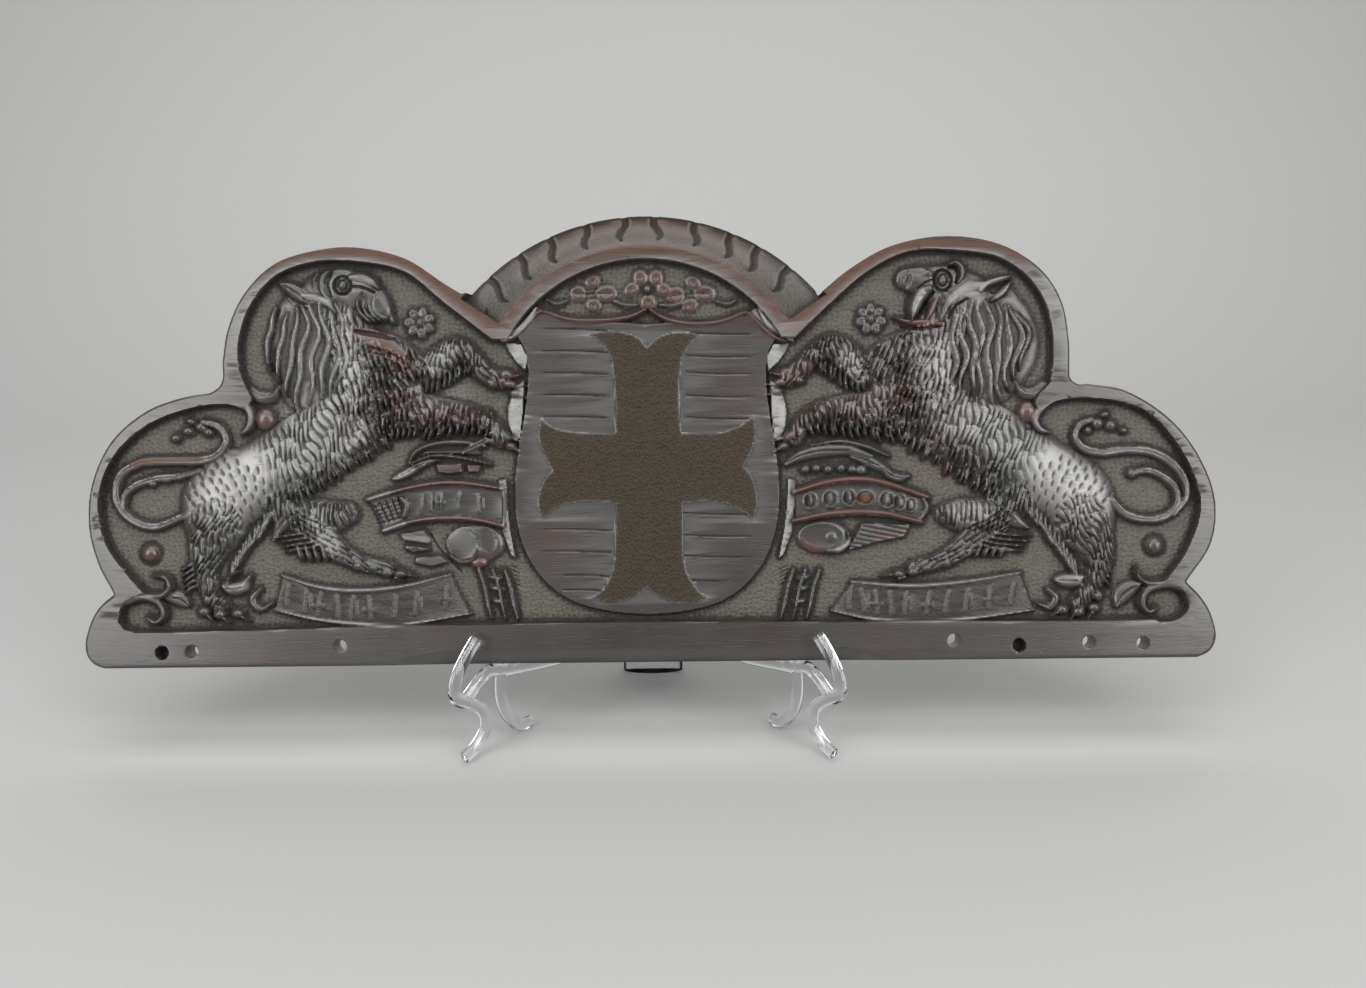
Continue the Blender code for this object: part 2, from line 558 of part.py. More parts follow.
def locks(name, ends, relief):
    """The mane's long wavy locks."""
    (top_first, top_last, top_y), (foot_first, foot_last, foot_y) = ends
    pieces = []
    for i in range(MANE_LOCKS):
        share = i / (MANE_LOCKS - 1)
        top = top_first + (top_last - top_first) * share
        foot = foot_first + (foot_last - foot_first) * share
        line = []
        for j in range(LOCK_STEPS + 1):
            t = j / LOCK_STEPS
            sway = LOCK_SWAY * math.sin(t * math.pi * 2)
            drop = LOCK_DROP * math.sin(share * math.pi)
            half = LOCK_HALF_WIDTH * (0.35 + 0.75 * math.sin(math.pi * min(1.0, 0.2 + 0.8 * t)))
            line.append((top + (foot - top) * t + sway, top_y + (foot_y + drop - top_y) * t, half))
        pieces.append(limb(name + "_lock", line, LOCK_HEIGHT, relief, steps=1, sides=1))
    return pieces


def rosette(centre, radius, relief):
    pieces = [dome("rosette_eye", centre, radius * 0.4, radius * 0.4, 2.4, 0, relief)]
    for i in range(ROSETTE_PETALS):
        angle = 2 * math.pi * i / ROSETTE_PETALS
        place = (centre[0] + 0.66 * radius * math.cos(angle), centre[1] + 0.66 * radius * math.sin(angle))
        pieces.append(dome("rosette_petal", place, radius * 0.36, radius * 0.36, 2.0, 0, relief, 6))
    return pieces


def strip_outline(line, half, steps=2):
    """The outline, in drawing units, of a strip of even width along a middle line."""
    run = [Vector(point) for point in smooth(line, steps)]
    upper, lower = [], []
    for i, point in enumerate(run):
        along = run[min(i + 1, len(run) - 1)] - run[max(i - 1, 0)]
        across = Vector((-along.y, along.x)).normalized()
        upper.append(point + across * half)
        lower.append(point - across * half)
    return upper + lower[::-1]


def ribbon(line, half, strokes, relief):
    """A flat band with raised upright strokes along it."""
    ground = -GROUND_DEPTH
    outline = [at(*point) for point in strip_outline(line, half)]
    pieces = [plate("ribbon", outline, ground - BURY, ground + RIBBON_HEIGHT, relief)]
    run = smooth(line, 8)
    for i in range(strokes):
        x, y = run[round((i + 1) / (strokes + 1) * (len(run) - 1))]
        lean = 3.0 * (-1) ** i
        mark = strip_outline([(x - lean, y - half * 0.55), (x + lean, y + half * 0.55)], 2.4, 1)
        top = ground + RIBBON_HEIGHT + LETTER_STROKE_HEIGHT
        pieces.append(plate("stroke", [at(*point) for point in mark], ground - BURY / 2, top, relief))
    return pieces


def band_rails(line, half, relief):
    """The raised edges of a coronet's band."""
    pieces = []
    for side in (-1, 1):
        rail = [(x, y + side * half, BAND_RAIL_HALF_WIDTH) for x, y in line]
        pieces.append(limb("band_rail", rail, 3.2, relief, steps=2, sides=1))
    return pieces


def unite(pieces):
    """Join overlapping pieces into the first of them, one at a time."""
    first = pieces[0]
    first.data.transform(first.matrix_world)
    first.matrix_world = Matrix.Identity(4)
    for piece in pieces[1:]:
        boolean(first, piece, "UNION", "MANIFOLD")
    return first


def lion(limbs, mane, relief):
    pieces = [limb(name, line, height, relief, sides=2 if line[0][2] > 20 else 1)
              for name, (line, height) in limbs.items()]
    return unite(pieces + locks("mane", mane, relief))


def carve(board, relief):
    """Stand every carved form on the sunk ground."""
    groups = [unite(shield(relief)), lion(LION_RIGHT, MANE_RIGHT, relief), lion(LION_LEFT, MANE_LEFT, relief)]
    for line, half in RIBBONS:
        groups.append(unite(ribbon(line, half, RIBBON_STROKE_COUNT, relief)))
    for line, half in BANDS:
        groups.append(unite(ribbon(line, half - 2, BAND_STROKE_COUNT, relief) + band_rails(line, half, relief)))
    for centre, radius in ROSETTES:
        groups.append(unite(rosette(centre, radius, relief)))
    for line, height in TAILS + CURLS:
        groups.append(limb("tail", line, height, relief, steps=1, sides=1))
    for centre, radius, height in BALLS:
        groups.append(dome("ball", centre, radius, radius, height, 0, relief))
    for centre, wide, high, height, turn in LEAVES + TOES:
        groups.append(dome("leaf", centre, wide, high, height, turn, relief, 6))
    for centre, wide, high, height, turn in CROWN_LEAVES + CAPS + LAPPETS:
        groups.append(dome("leaf", centre, wide, high, height, turn, relief))
    for line, half in FOLDS:
        groups.append(limb("fold", [(x, y, half) for x, y in line], 2.4, relief, steps=1, sides=1))
    for group in groups:
        boolean(board, group, "UNION", "MANIFOLD")


def make_pediment(parts, cutters):
    board = plate("board", board_outline(), -BOARD_THICK, 0.0, parts)
    ground = plate("ground_cutter", sunk_outline(), -GROUND_DEPTH, 4.0, cutters)
    boolean(board, ground, "DIFFERENCE")
    cut_cove(board, cutters)
    cut_notches(board, cutters)
    cut_chamfer(board, cutters)
    cut_holes(board, cutters)
    carve(board, cutters)
    cut_field_lines(board, cutters)
    board.name = "pediment"
    board.data.transform(board.matrix_world)
    board.matrix_world = Matrix.Identity(4)
    return board


def bar(name, line, order, collection):
    """A rounded bar of the easel's plastic, drawn in its frame's upright plane (back, up), in mm.

    Each bar is a little thinner than the one before, so that no two share a face.
    """
    run = [Vector((s * MM, z * MM, 0.0)) for s, z in smooth(line, 2)]
    piece = tube(name, run, [STRIP_WIDTH / 2 * MM] * len(run), collection, 1)
    share = (EASEL_THICK - order * STRIP_STEP) / STRIP_WIDTH
    piece.data.transform(Matrix.Diagonal((1.0, 1.0, share, 1.0)))
    return piece


def seat_height():
    """Height (mm) of the board's lower front edge when its lower back edge is on the ledges."""
    return LEDGE_HEIGHT + BOARD_THICK * math.sin(math.radians(LEAN_DEG))


def make_easel(parts, cutters):
    """Two upright plastic frames that meet at a knuckle behind the board, moulded as one piece."""
    half = STRIP_WIDTH / 2
    seat = seat_height()
    turn = math.radians(FRAME_TURN_DEG)
    lean = math.radians(LEAN_DEG)
    slope = math.tan(lean) / math.cos(turn)
    fall = math.tan(lean) * math.cos(turn)
    skew = EASEL_THICK / 2 * math.tan(turn)
    skew_drop = EASEL_THICK / 2 * math.sin(turn) * math.tan(lean)
    back = BOARD_THICK / math.cos(lean) / math.cos(turn) + half * math.hypot(1.0, slope) + skew + GAP
    rise = UPRIGHT_REACH

    def under(s):
        """Height of the ledge's middle line under the sloping foot of the board."""
        return seat - s * fall - half * math.hypot(1.0, fall) - skew_drop - GAP

    def behind(z):
        """Distance back of the upright's middle line at height z, along the frame."""
        return back + (z - seat) * slope

    front = -half - skew
    hook = [(front + 3.5, seat + HOOK_RISE), (front - 3.5, seat + HOOK_RISE * 0.5), (front - 9.5, seat - 1.5),
            (front - 11.0, seat - 8.5), (front - 6.5, seat - 13.0), (-2.5, under(0.0) - 4.0),
            (4.0, under(4.0)), (back - 9.0, under(back - 9.0))]
    upright = [(back - 9.5, under(back - 9.5)), (behind(seat - 8.5) + 0.5, seat - 8.5),
               (behind(seat - 2.0), seat - 2.0), (behind(seat + rise / 2), seat + rise / 2),
               (behind(seat + rise), seat + rise)]
    front_leg = [(front - 8.0, seat - 12.5), (front - 1.0, seat - 17.0), (front + 5.0, seat - 23.5),
                 (front + 5.5, seat - 31.0), (front - 0.5, half + 3.0), (front - 8.0, half)]
    middle_leg = [(back - 8.0, under(back - 8.0)), (back - 9.5, seat - 18.0), (back - 7.0, seat - 29.0),
                  (back + 1.0, half + 1.5), (back + 8.0, half)]
    brace_top = seat + rise * BRACE_SHARE
    rear_leg = [(behind(brace_top), brace_top), (REAR_REACH * 0.8, seat + 4.0),
                (REAR_REACH - 4.0, seat * 0.4), (REAR_REACH, half)]
    tie = [(back - 4.0, seat - 9.0), (REAR_REACH * 0.55, seat - 17.0), (REAR_REACH - 5.0, seat - 14.0)]
    frames = []
    for side in (-1, 1):
        lines = (hook, upright, front_leg, middle_leg, rear_leg, tie)
        pieces = [bar("bar", line, order, cutters) for order, line in enumerate(lines)]
        frame = pieces[0]
        for piece in pieces[1:]:
            boolean(frame, piece, "UNION", "MANIFOLD")
        frame.data.transform(frame.matrix_world)
        frame.matrix_world = Matrix.Identity(4)
        stand = Matrix.Rotation(math.pi / 2, 4, "X")
        plan = Matrix.Rotation(math.pi / 2 + side * turn, 4, "Z")
        place = Matrix.Translation((side * HOOK_SPACING / 2 * MM, 0.0, 0.0))
        frame.data.transform(place @ plan @ stand)
        frames.append(frame)
    meet_y = REAR_REACH * math.cos(turn)
    meet_x = HOOK_SPACING / 2 - REAR_REACH * math.sin(turn)
    bpy.ops.mesh.primitive_cylinder_add(vertices=12, radius=KNUCKLE_RADIUS * MM, depth=KNUCKLE_HEIGHT * MM)
    knuckle = bpy.context.active_object
    knuckle.scale = ((meet_x + KNUCKLE_RADIUS) / KNUCKLE_RADIUS, 1.0, 1.0)
    knuckle.location = (0.0, meet_y * MM, KNUCKLE_HEIGHT / 2 * MM)
    bpy.context.view_layer.update()
    knuckle.data.transform(knuckle.matrix_world)
    knuckle.matrix_world = Matrix.Identity(4)
    knuckle.name = "easel"
    for owner in knuckle.users_collection:
        owner.objects.unlink(knuckle)
    parts.objects.link(knuckle)
    for frame in frames:
        boolean(knuckle, frame, "UNION", "MANIFOLD")
    return knuckle


def main():
    for old in list(bpy.data.objects):
        bpy.data.objects.remove(old)
    parts = bpy.data.collections.new("heraldic_pediment")
    cutters = bpy.data.collections.new("cutters")
    bpy.context.scene.collection.children.link(parts)
    bpy.context.scene.collection.children.link(cutters)

    pediment = make_pediment(parts, cutters)
    pediment.data.materials.clear()
    pediment.data.materials.append(material("dark_oak", (0.085, 0.065, 0.05), 0.5))
    seat = bpy.data.objects.new("board_seat", None)
    parts.objects.link(seat)
    seat.location = (0.0, 0.0, seat_height() * MM)
    seat.rotation_euler.x = math.radians(90.0 - LEAN_DEG)
    pediment.parent = seat

    easel = make_easel(parts, cutters)
    easel.data.materials.clear()
    easel.data.materials.append(material("clear_plastic", (0.95, 0.97, 0.97), 0.08, transmission=0.9))
    centre = bpy.data.objects.new("footprint_centre", None)
    parts.objects.link(centre)
    bpy.context.view_layer.update()
    corners = []
    for piece in (pediment, easel):
        corners += [piece.matrix_world @ vertex.co for vertex in piece.data.vertices]
    centre.location = (-(min(c.x for c in corners) + max(c.x for c in corners)) / 2,
                       -(min(c.y for c in corners) + max(c.y for c in corners)) / 2, 0.0)
    seat.parent = centre
    easel.parent = centre


main()
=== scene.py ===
"""Looks of the carved oak pediment on its clear easel.

The fine carving is worked out as one relief over the face of the board, in millimetres: u along the board,
v up it, and w out of it. Places on the face are drawing points (x, y), with y downwards, and at() turns
them into millimetres. Heights are above the sunk ground unless a comment says otherwise.
"""
import math

import bpy
import numpy as np
from mathutils import Matrix, Vector


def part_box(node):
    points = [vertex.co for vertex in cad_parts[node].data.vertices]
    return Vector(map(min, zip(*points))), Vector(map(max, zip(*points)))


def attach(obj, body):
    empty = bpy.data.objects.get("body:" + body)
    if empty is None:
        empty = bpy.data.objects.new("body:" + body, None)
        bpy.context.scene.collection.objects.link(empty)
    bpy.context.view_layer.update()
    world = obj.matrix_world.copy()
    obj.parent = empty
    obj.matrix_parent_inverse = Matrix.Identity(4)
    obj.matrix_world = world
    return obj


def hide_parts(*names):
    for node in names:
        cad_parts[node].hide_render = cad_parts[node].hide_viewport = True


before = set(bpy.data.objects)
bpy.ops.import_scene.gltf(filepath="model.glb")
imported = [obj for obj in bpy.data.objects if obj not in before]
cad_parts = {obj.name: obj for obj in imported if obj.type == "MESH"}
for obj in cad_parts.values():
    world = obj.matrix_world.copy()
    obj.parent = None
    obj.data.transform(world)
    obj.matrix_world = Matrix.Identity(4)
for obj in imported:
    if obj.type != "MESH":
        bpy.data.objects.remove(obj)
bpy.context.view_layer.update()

MM = 0.001

# The board, in millimetres, as the solids have it
LENGTH = 500.0
BOARD_THICK = 11.0
GROUND_DEPTH = 4.5
COVE_EDGE = 2.2
COVE_CURVE = 1.7
LEAN = math.radians(18.5)
HOLE_RADIUS = 2.85
BLIND_DEPTH = 6.0
CHAMFER_HEIGHT = 6.4
CHAMFER_DEPTH = 3.6

# The drawing: its length, its centre foot and its small turn
DRAWING_LENGTH = 1132.0
DRAWING_CENTRE = (648.0, 663.0)
DRAWING_TURN = math.radians(0.6)
UNIT = LENGTH / DRAWING_LENGTH

# The relief's grid, in millimetres, and how many triangles the finished board keeps
GRID = 0.5
GRID_LEFT = -253.0
GRID_FOOT = -6.0
GRID_COLUMNS = 1012
GRID_ROWS = 420
BOARD_TRIANGLES = 190000
# Edges sharper than this stay sharp, and how much big faces count in the shading
BOARD_CREASE = math.radians(50)
EVEN_WEIGHT = 70

# Outline of the board and edge of its sunk ground, in drawing points
RAIL_LEFT = [(113, 595), (100, 606), (91, 620), (85.5, 639), (86, 654), (93, 664), (104, 668.7)]
RAIL_RIGHT = [(1198, 657.24), (1210, 651), (1216, 640), (1215, 625), (1210, 610), (1200, 595), (1187, 582)]
LOBE_LEFT_LOW = [(113, 594), (98, 566), (88, 528), (91, 484), (111, 441), (146, 411), (184, 397), (209, 393)]
WEB_LEFT = [(209, 393), (218, 387), (222, 378), (221.5, 363)]
LOBE_LEFT_HIGH = [(221.5, 363), (227, 329), (243, 294), (273, 264), (315, 250), (354, 247),
                  (404, 258), (444, 283.5), (463, 295)]
LOBE_RIGHT_HIGH = [(820, 293), (850, 268.5), (890, 246), (945, 235.5), (1000, 243.5), (1040, 267.5),
                   (1062, 300), (1070, 345), (1070, 366)]
WEB_RIGHT = [(1070, 366), (1071, 378), (1079, 384), (1088, 383.5)]
LOBE_RIGHT_LOW = [(1088, 383.5), (1125, 390), (1170, 418), (1200, 456), (1216, 500), (1212, 543), (1187, 582)]
ARCH_BACK_CENTRE = (645, 447)
ARCH_BACK_RADIUS = 235
ARCH_BACK_ENDS = ((463, 295), (820, 293))
ARCH_FRONT_CENTRE = (645, 417)
ARCH_FRONT_RADIUS = 171
SUNK_LEFT_LOW = [(150, 600), (126, 574), (104, 541), (98, 498), (111, 459.5), (145, 426), (190, 408),
                 (226, 404), (244, 409)]
SUNK_HOOK_LEFT = [(244, 409), (251, 400), (245, 386), (239, 372)]
SUNK_LEFT_HIGH = [(239, 372), (237.5, 346), (248, 308), (275, 275.5), (315, 261), (357, 261), (404, 271),
                  (444, 302), (492, 339)]
SUNK_ARCH_RADIUS = 159
SUNK_RIGHT_HIGH = [(795, 337), (830, 303), (870, 269), (910, 250.5), (960, 250), (1000, 257), (1030, 278),
                   (1048, 308), (1054, 350), (1051, 382)]
SUNK_HOOK_RIGHT = [(1051, 382), (1042, 392), (1036, 402), (1040, 412)]
SUNK_RIGHT_LOW = [(1040, 412), (1056, 401), (1097, 398), (1145, 410), (1180, 447), (1201, 500), (1190, 545),
                  (1160, 590)]
SUNK_FOOT = [(1160, 620), (900, 622), (648, 622), (400, 626), (240, 631), (136, 633), (124, 630), (118, 622),
             (119, 611), (127, 603), (140, 600)]
HOLES = [((162, 653), False), ((192, 652), True), ((340, 646), True), ((954, 640), True),
         ((1019, 645), False), ((1089, 642), True), ((1143, 643), True)]
CHAMFER_ENDS = (380, 905)
CHAMFER_RUN_OUT = 80


def at(x, y):
    """Millimetres along and up the face of the board for a drawing point."""
    dx = x - DRAWING_CENTRE[0]
    dy = DRAWING_CENTRE[1] - y
    along = dx * math.cos(DRAWING_TURN) + dy * math.sin(DRAWING_TURN)
    up = dy * math.cos(DRAWING_TURN) - dx * math.sin(DRAWING_TURN)
    return along * UNIT, up * UNIT


def smooth(points, steps):
    """Points along a smooth open curve through the given tuples, with knots spaced by distance."""
    def gap(p, q):
        return max(math.dist(p[:2], q[:2]), 1e-6) ** 0.5

    def blend(p, q, start, end, t):
        return [(a * (end - t) + b * (t - start)) / (end - start) for a, b in zip(p, q)]

    first = [2 * a - b for a, b in zip(points[0], points[1])]
    last = [2 * a - b for a, b in zip(points[-1], points[-2])]
    ends = [first] + list(points) + [last]
    out = []
    for i in range(1, len(ends) - 2):
        a, b, c, d = ends[i - 1:i + 3]
        k1 = gap(a, b)
        k2 = k1 + gap(b, c)
        k3 = k2 + gap(c, d)
        for step in range(steps):
            t = k1 + (k2 - k1) * step / steps
            ab = blend(a, b, 0.0, k1, t)
            bc = blend(b, c, k1, k2, t)
            cd = blend(c, d, k2, k3, t)
            out.append(tuple(blend(blend(ab, bc, 0.0, k2, t), blend(bc, cd, k1, k3, t), k1, k2, t)))
    out.append(tuple(points[-1]))
    return out


def arc(centre, radius, start, end, steps):
    """Points of the arc about centre that runs from near start to near end over the top."""
    first = math.atan2(start[1] - centre[1], start[0] - centre[0])
    last = math.atan2(end[1] - centre[1], end[0] - centre[0])
    return [(centre[0] + radius * math.cos(first + (last - first) * i / steps),
             centre[1] + radius * math.sin(first + (last - first) * i / steps)) for i in range(steps + 1)]


def board_outline():
    arch = arc(ARCH_BACK_CENTRE, ARCH_BACK_RADIUS, *ARCH_BACK_ENDS, 60)
    left = smooth(LOBE_LEFT_LOW, 8)[1:] + smooth(WEB_LEFT, 6)[1:] + smooth(LOBE_LEFT_HIGH, 8)[1:]
    right = smooth(LOBE_RIGHT_HIGH, 8) + smooth(WEB_RIGHT, 6)[1:] + smooth(LOBE_RIGHT_LOW, 8)[1:]
    rail = smooth(RAIL_RIGHT, 5)[::-1][1:] + smooth(RAIL_LEFT, 5)[::-1]
    return left[:-1] + arch[1:-1] + right + rail


def sunk_outline():
    arch = arc(ARCH_FRONT_CENTRE, SUNK_ARCH_RADIUS, SUNK_LEFT_HIGH[-1], SUNK_RIGHT_HIGH[0], 50)
    left = smooth(SUNK_LEFT_LOW, 8) + smooth(SUNK_HOOK_LEFT, 6)[1:] + smooth(SUNK_LEFT_HIGH, 8)[1:]
    right = smooth(SUNK_RIGHT_HIGH, 8) + smooth(SUNK_HOOK_RIGHT, 6)[1:] + smooth(SUNK_RIGHT_LOW, 8)[1:]
    return left + arch[1:-1] + right + SUNK_FOOT


# The relief: its grid and its height w at each grid point, and the masks that the finish reads
U, V = np.meshgrid(GRID_LEFT + GRID * np.arange(GRID_COLUMNS + 1),
                   GRID_FOOT + GRID * np.arange(GRID_ROWS + 1))
W = np.zeros_like(U)
# One of the masks holds painted highlights, where light catches the carving
MASKS = {name: np.zeros_like(U) for name in ("ground", "worn", "red", "cross", "painted_highlight")}


# Least half width of a line in mm, and values that stand for far from a line and far below the face
LEAST_HALF = 0.05
FAR_SHARE = 9.0
FAR_BELOW = -99.0
# Share of its half width that a painted line reaches
PAINT_REACH = 1.3


def window(low_u, high_u, low_v, high_v):
    """The slice of the grid that covers a box in millimetres."""
    first_column = max(0, int((low_u - GRID_LEFT) / GRID))
    last_column = min(GRID_COLUMNS, int((high_u - GRID_LEFT) / GRID) + 1)
    first_row = max(0, int((low_v - GRID_FOOT) / GRID))
    last_row = min(GRID_ROWS, int((high_v - GRID_FOOT) / GRID) + 1)
    return slice(first_row, last_row + 1), slice(first_column, last_column + 1)


def along_line(line, steps=6):
    """For grid points near a line of (x, y, half width): the window, the distance as a share of the half
    width, and the distance along in mm."""
    run = smooth(line, steps) if len(line) > 2 else line
    run = [(*at(x, y), max(half * UNIT, LEAST_HALF)) for x, y, half in run]
    widest = max(p[2] for p in run)
    area = window(min(p[0] for p in run) - widest, max(p[0] for p in run) + widest,
                  min(p[1] for p in run) - widest, max(p[1] for p in run) + widest)
    grid_u, grid_v = U[area], V[area]
    share = np.full(grid_u.shape, FAR_SHARE)
    along = np.zeros_like(share)
    start = 0.0
    for (au, av, ah), (bu, bv, bh) in zip(run, run[1:]):
        du, dv = bu - au, bv - av
        length = math.hypot(du, dv)
        if length < 1e-6:
            continue
        t = np.clip(((grid_u - au) * du + (grid_v - av) * dv) / length ** 2, 0.0, 1.0)
        here = np.hypot(grid_u - au - t * du, grid_v - av - t * dv) / (ah + (bh - ah) * t)
        nearer = here < share
        share[nearer] = here[nearer]
        along[nearer] = (start + t * length)[nearer]
        start += length
    return area, share, along


def signed_distance(outline, reach):
    """Distance in mm to a closed outline of drawing points, negative inside, right up to reach from it."""
    points = [at(x, y) for x, y in outline]
    low_u = min(p[0] for p in points) - reach
    high_u = max(p[0] for p in points) + reach
    low_v = min(p[1] for p in points) - reach
    high_v = max(p[1] for p in points) + reach
    area = window(low_u, high_u, low_v, high_v)
    grid_u, grid_v = U[area], V[area]
    rows, columns = grid_u.shape
    first_u, first_v = grid_u[0, 0], grid_v[0, 0]
    distance = np.full(grid_u.shape, reach)
    turns = np.zeros((rows, columns + 1), dtype=np.int32)
    for (au, av), (bu, bv) in zip(points, points[1:] + points[:1]):
        du, dv = bu - au, bv - av
        length = math.hypot(du, dv)
        if length < 1e-9:
            continue
        c0 = max(0, int((min(au, bu) - reach - first_u) / GRID))
        c1 = min(columns, int((max(au, bu) + reach - first_u) / GRID) + 2)
        r0 = max(0, int((min(av, bv) - reach - first_v) / GRID))
        r1 = min(rows, int((max(av, bv) + reach - first_v) / GRID) + 2)
        part_u, part_v = grid_u[r0:r1, c0:c1], grid_v[r0:r1, c0:c1]
        t = np.clip(((part_u - au) * du + (part_v - av) * dv) / length ** 2, 0.0, 1.0)
        here = np.hypot(part_u - au - t * du, part_v - av - t * dv)
        distance[r0:r1, c0:c1] = np.minimum(distance[r0:r1, c0:c1], here)
        if abs(dv) > 1e-9:
            heights = grid_v[:, 0]
            crossed = np.nonzero((heights >= min(av, bv)) & (heights < max(av, bv)))[0]
            meets = au + (heights[crossed] - av) / dv * du
            columns_right = np.clip(np.ceil((meets - first_u) / GRID).astype(int), 0, columns)
            np.add.at(turns, (crossed, columns_right), 1)
    inside = np.cumsum(turns, axis=1)[:, :columns] % 2 == 1
    return area, np.where(inside, -distance, distance)


def rise(x):
    """A soft step from 0 to 1."""
    x = np.clip(x, 0.0, 1.0)
    return x * x * (3.0 - 2.0 * x)


def softer_max(a, b, blend):
    """The higher of two surfaces, with their meeting line filled over a height of blend (mm)."""
    if blend <= 0.0:
        return np.maximum(a, b)
    near = np.clip(blend - np.abs(a - b), 0.0, None) / blend
    return np.maximum(a, b) + near * near * blend * 0.25


def stand(line, height, power=0.5, blend=0.0, steps=6):
    """A carved limb on the ground: round when power is a half, sharper as it grows."""
    area, share, _ = along_line(line, steps)
    top = height * np.clip(1.0 - share ** 2, 0.0, 1.0) ** power
    inside = share < 1.0
    made = softer_max(W[area], np.where(inside, top - GROUND_DEPTH, FAR_BELOW), blend)
    W[area] = np.where(inside, made, W[area])


def add(line, height, power=1.0, steps=6):
    """A ridge on what is already carved."""
    area, share, _ = along_line(line, steps)
    W[area] += height * np.clip(1.0 - share ** 2, 0.0, 1.0) ** power


def cut(line, depth, power=1.0, steps=6):
    """A groove in what is already carved."""
    add(line, -depth, power, steps)


def paint(mask, line, amount, steps=4):
    """Lay a mask along a line, fading to its edges."""
    area, share, _ = along_line(line, steps)
    MASKS[mask][area] = np.maximum(MASKS[mask][area], amount * rise(PAINT_REACH - share))


def plate(outline, height, bevel):
    """A flat raised shape with sloping edges; returns its window and signed distance."""
    area, distance = signed_distance(outline, bevel + 2.0)
    top = height * rise(-distance / bevel)
    W[area] = np.where(distance < 0, np.maximum(W[area], top - GROUND_DEPTH), W[area])
    return area, distance


def turned(centre, half_wide, half_high, turn):
    """Grid window and the two turned coordinates about a centre, each as a share of the half size."""
    u, v = at(*centre)
    wide, high = half_wide * UNIT, half_high * UNIT
    reach = max(wide, high) * 1.1
    area = window(u - reach, u + reach, v - reach, v + reach)
    angle = math.radians(turn)
    du, dv = U[area] - u, V[area] - v
    return (area, (du * math.cos(angle) + dv * math.sin(angle)) / wide,
            (dv * math.cos(angle) - du * math.sin(angle)) / high)


def swell(centre, half_wide, half_high, height, turn=0.0, power=0.5, blend=0.0):
    """A rounded swelling on the ground."""
    area, a, b = turned(centre, half_wide, half_high, turn)
    share = a * a + b * b
    top = height * np.clip(1.0 - share, 0.0, 1.0) ** power - GROUND_DEPTH
    W[area] = np.where(share < 1.0, softer_max(W[area], top, blend), W[area])


def press(centre, half_wide, half_high, depth, turn=0.0, power=1.0):
    """A rounded hollow, or with a negative depth a boss, in what is already carved."""
    area, a, b = turned(centre, half_wide, half_high, turn)
    W[area] -= depth * np.clip(1.0 - a * a - b * b, 0.0, 1.0) ** power


def scatter(values):
    """A repeatable number between 0 and 1 for each whole number."""
    return np.modf(np.abs(np.sin(values * 12.9898 + 4.1414) * 43758.5453))[0]


def fur(line, angle, pitch, length, depth, edge=0.95, bend=0.0, stop=1.2):
    """Rows of pointed tufts over a limb as far as the stop, a share of its length. Their tips point along the
    angle in degrees, which bends along it."""
    area, share, along = along_line(line)
    inside = share < edge
    if not inside.any():
        return
    total = max(along.max(), 1e-6)
    theta = np.radians(angle + bend * (along / total - 0.5))
    du, dv = U[area] - U[area][inside].mean(), V[area] - V[area][inside].mean()
    a = du * np.cos(theta) + dv * np.sin(theta) + 1000.0 * length
    b = dv * np.cos(theta) - du * np.sin(theta) + 1000.0 * pitch
    b += 0.35 * pitch * np.sin(a / length * 2.2 + b * 0.31) + 0.25 * pitch * np.sin(b * 0.21 + a * 0.27)
    row = np.floor(b / pitch)
    off = a / length + scatter(row)
    phase = off - np.floor(off)
    seed = scatter(row * 3.0 + np.floor(off) * 7.0)
    inward = np.abs(2.0 * (b / pitch - row) - 1.0)
    half = (0.98 - 0.72 * phase ** 1.4) * (0.82 + 0.25 * seed)
    gap = rise((inward - half) / 0.4 + 0.35)
    back = np.sqrt(np.clip(1.0 - (inward / np.clip(half, 0.1, None)) ** 2, 0.0, 1.0))
    tuft = (0.45 * back + 0.45 * phase) * (1.0 - gap) - gap * (0.55 + 0.45 * seed)
    fade = rise((edge - share) / 0.15) * rise((stop - along / total) / 0.16)
    W[area] += np.where(inside, depth * tuft * fade, 0.0)


def offset_line(line, dx, dy):
    return [(x + dx, y + dy) for x, y in line]


def with_half(line, half, taper=1.0):
    """Give a line of (x, y) a half width, narrower at both ends by the taper."""
    count = len(line) - 1
    return [(x, y, half * (1.0 - (1.0 - taper) * abs(2.0 * i / count - 1.0) ** 2))
            for i, (x, y) in enumerate(line)]


# Frame of the board: rims, sunk ground, arch, rail
RIM_ROUND = 1.5
SUNK_SLOPE = 0.9
ARCH_BAND = 9.0
GROUND_GRAIN = 0.07
FACE_WAVE = 0.006


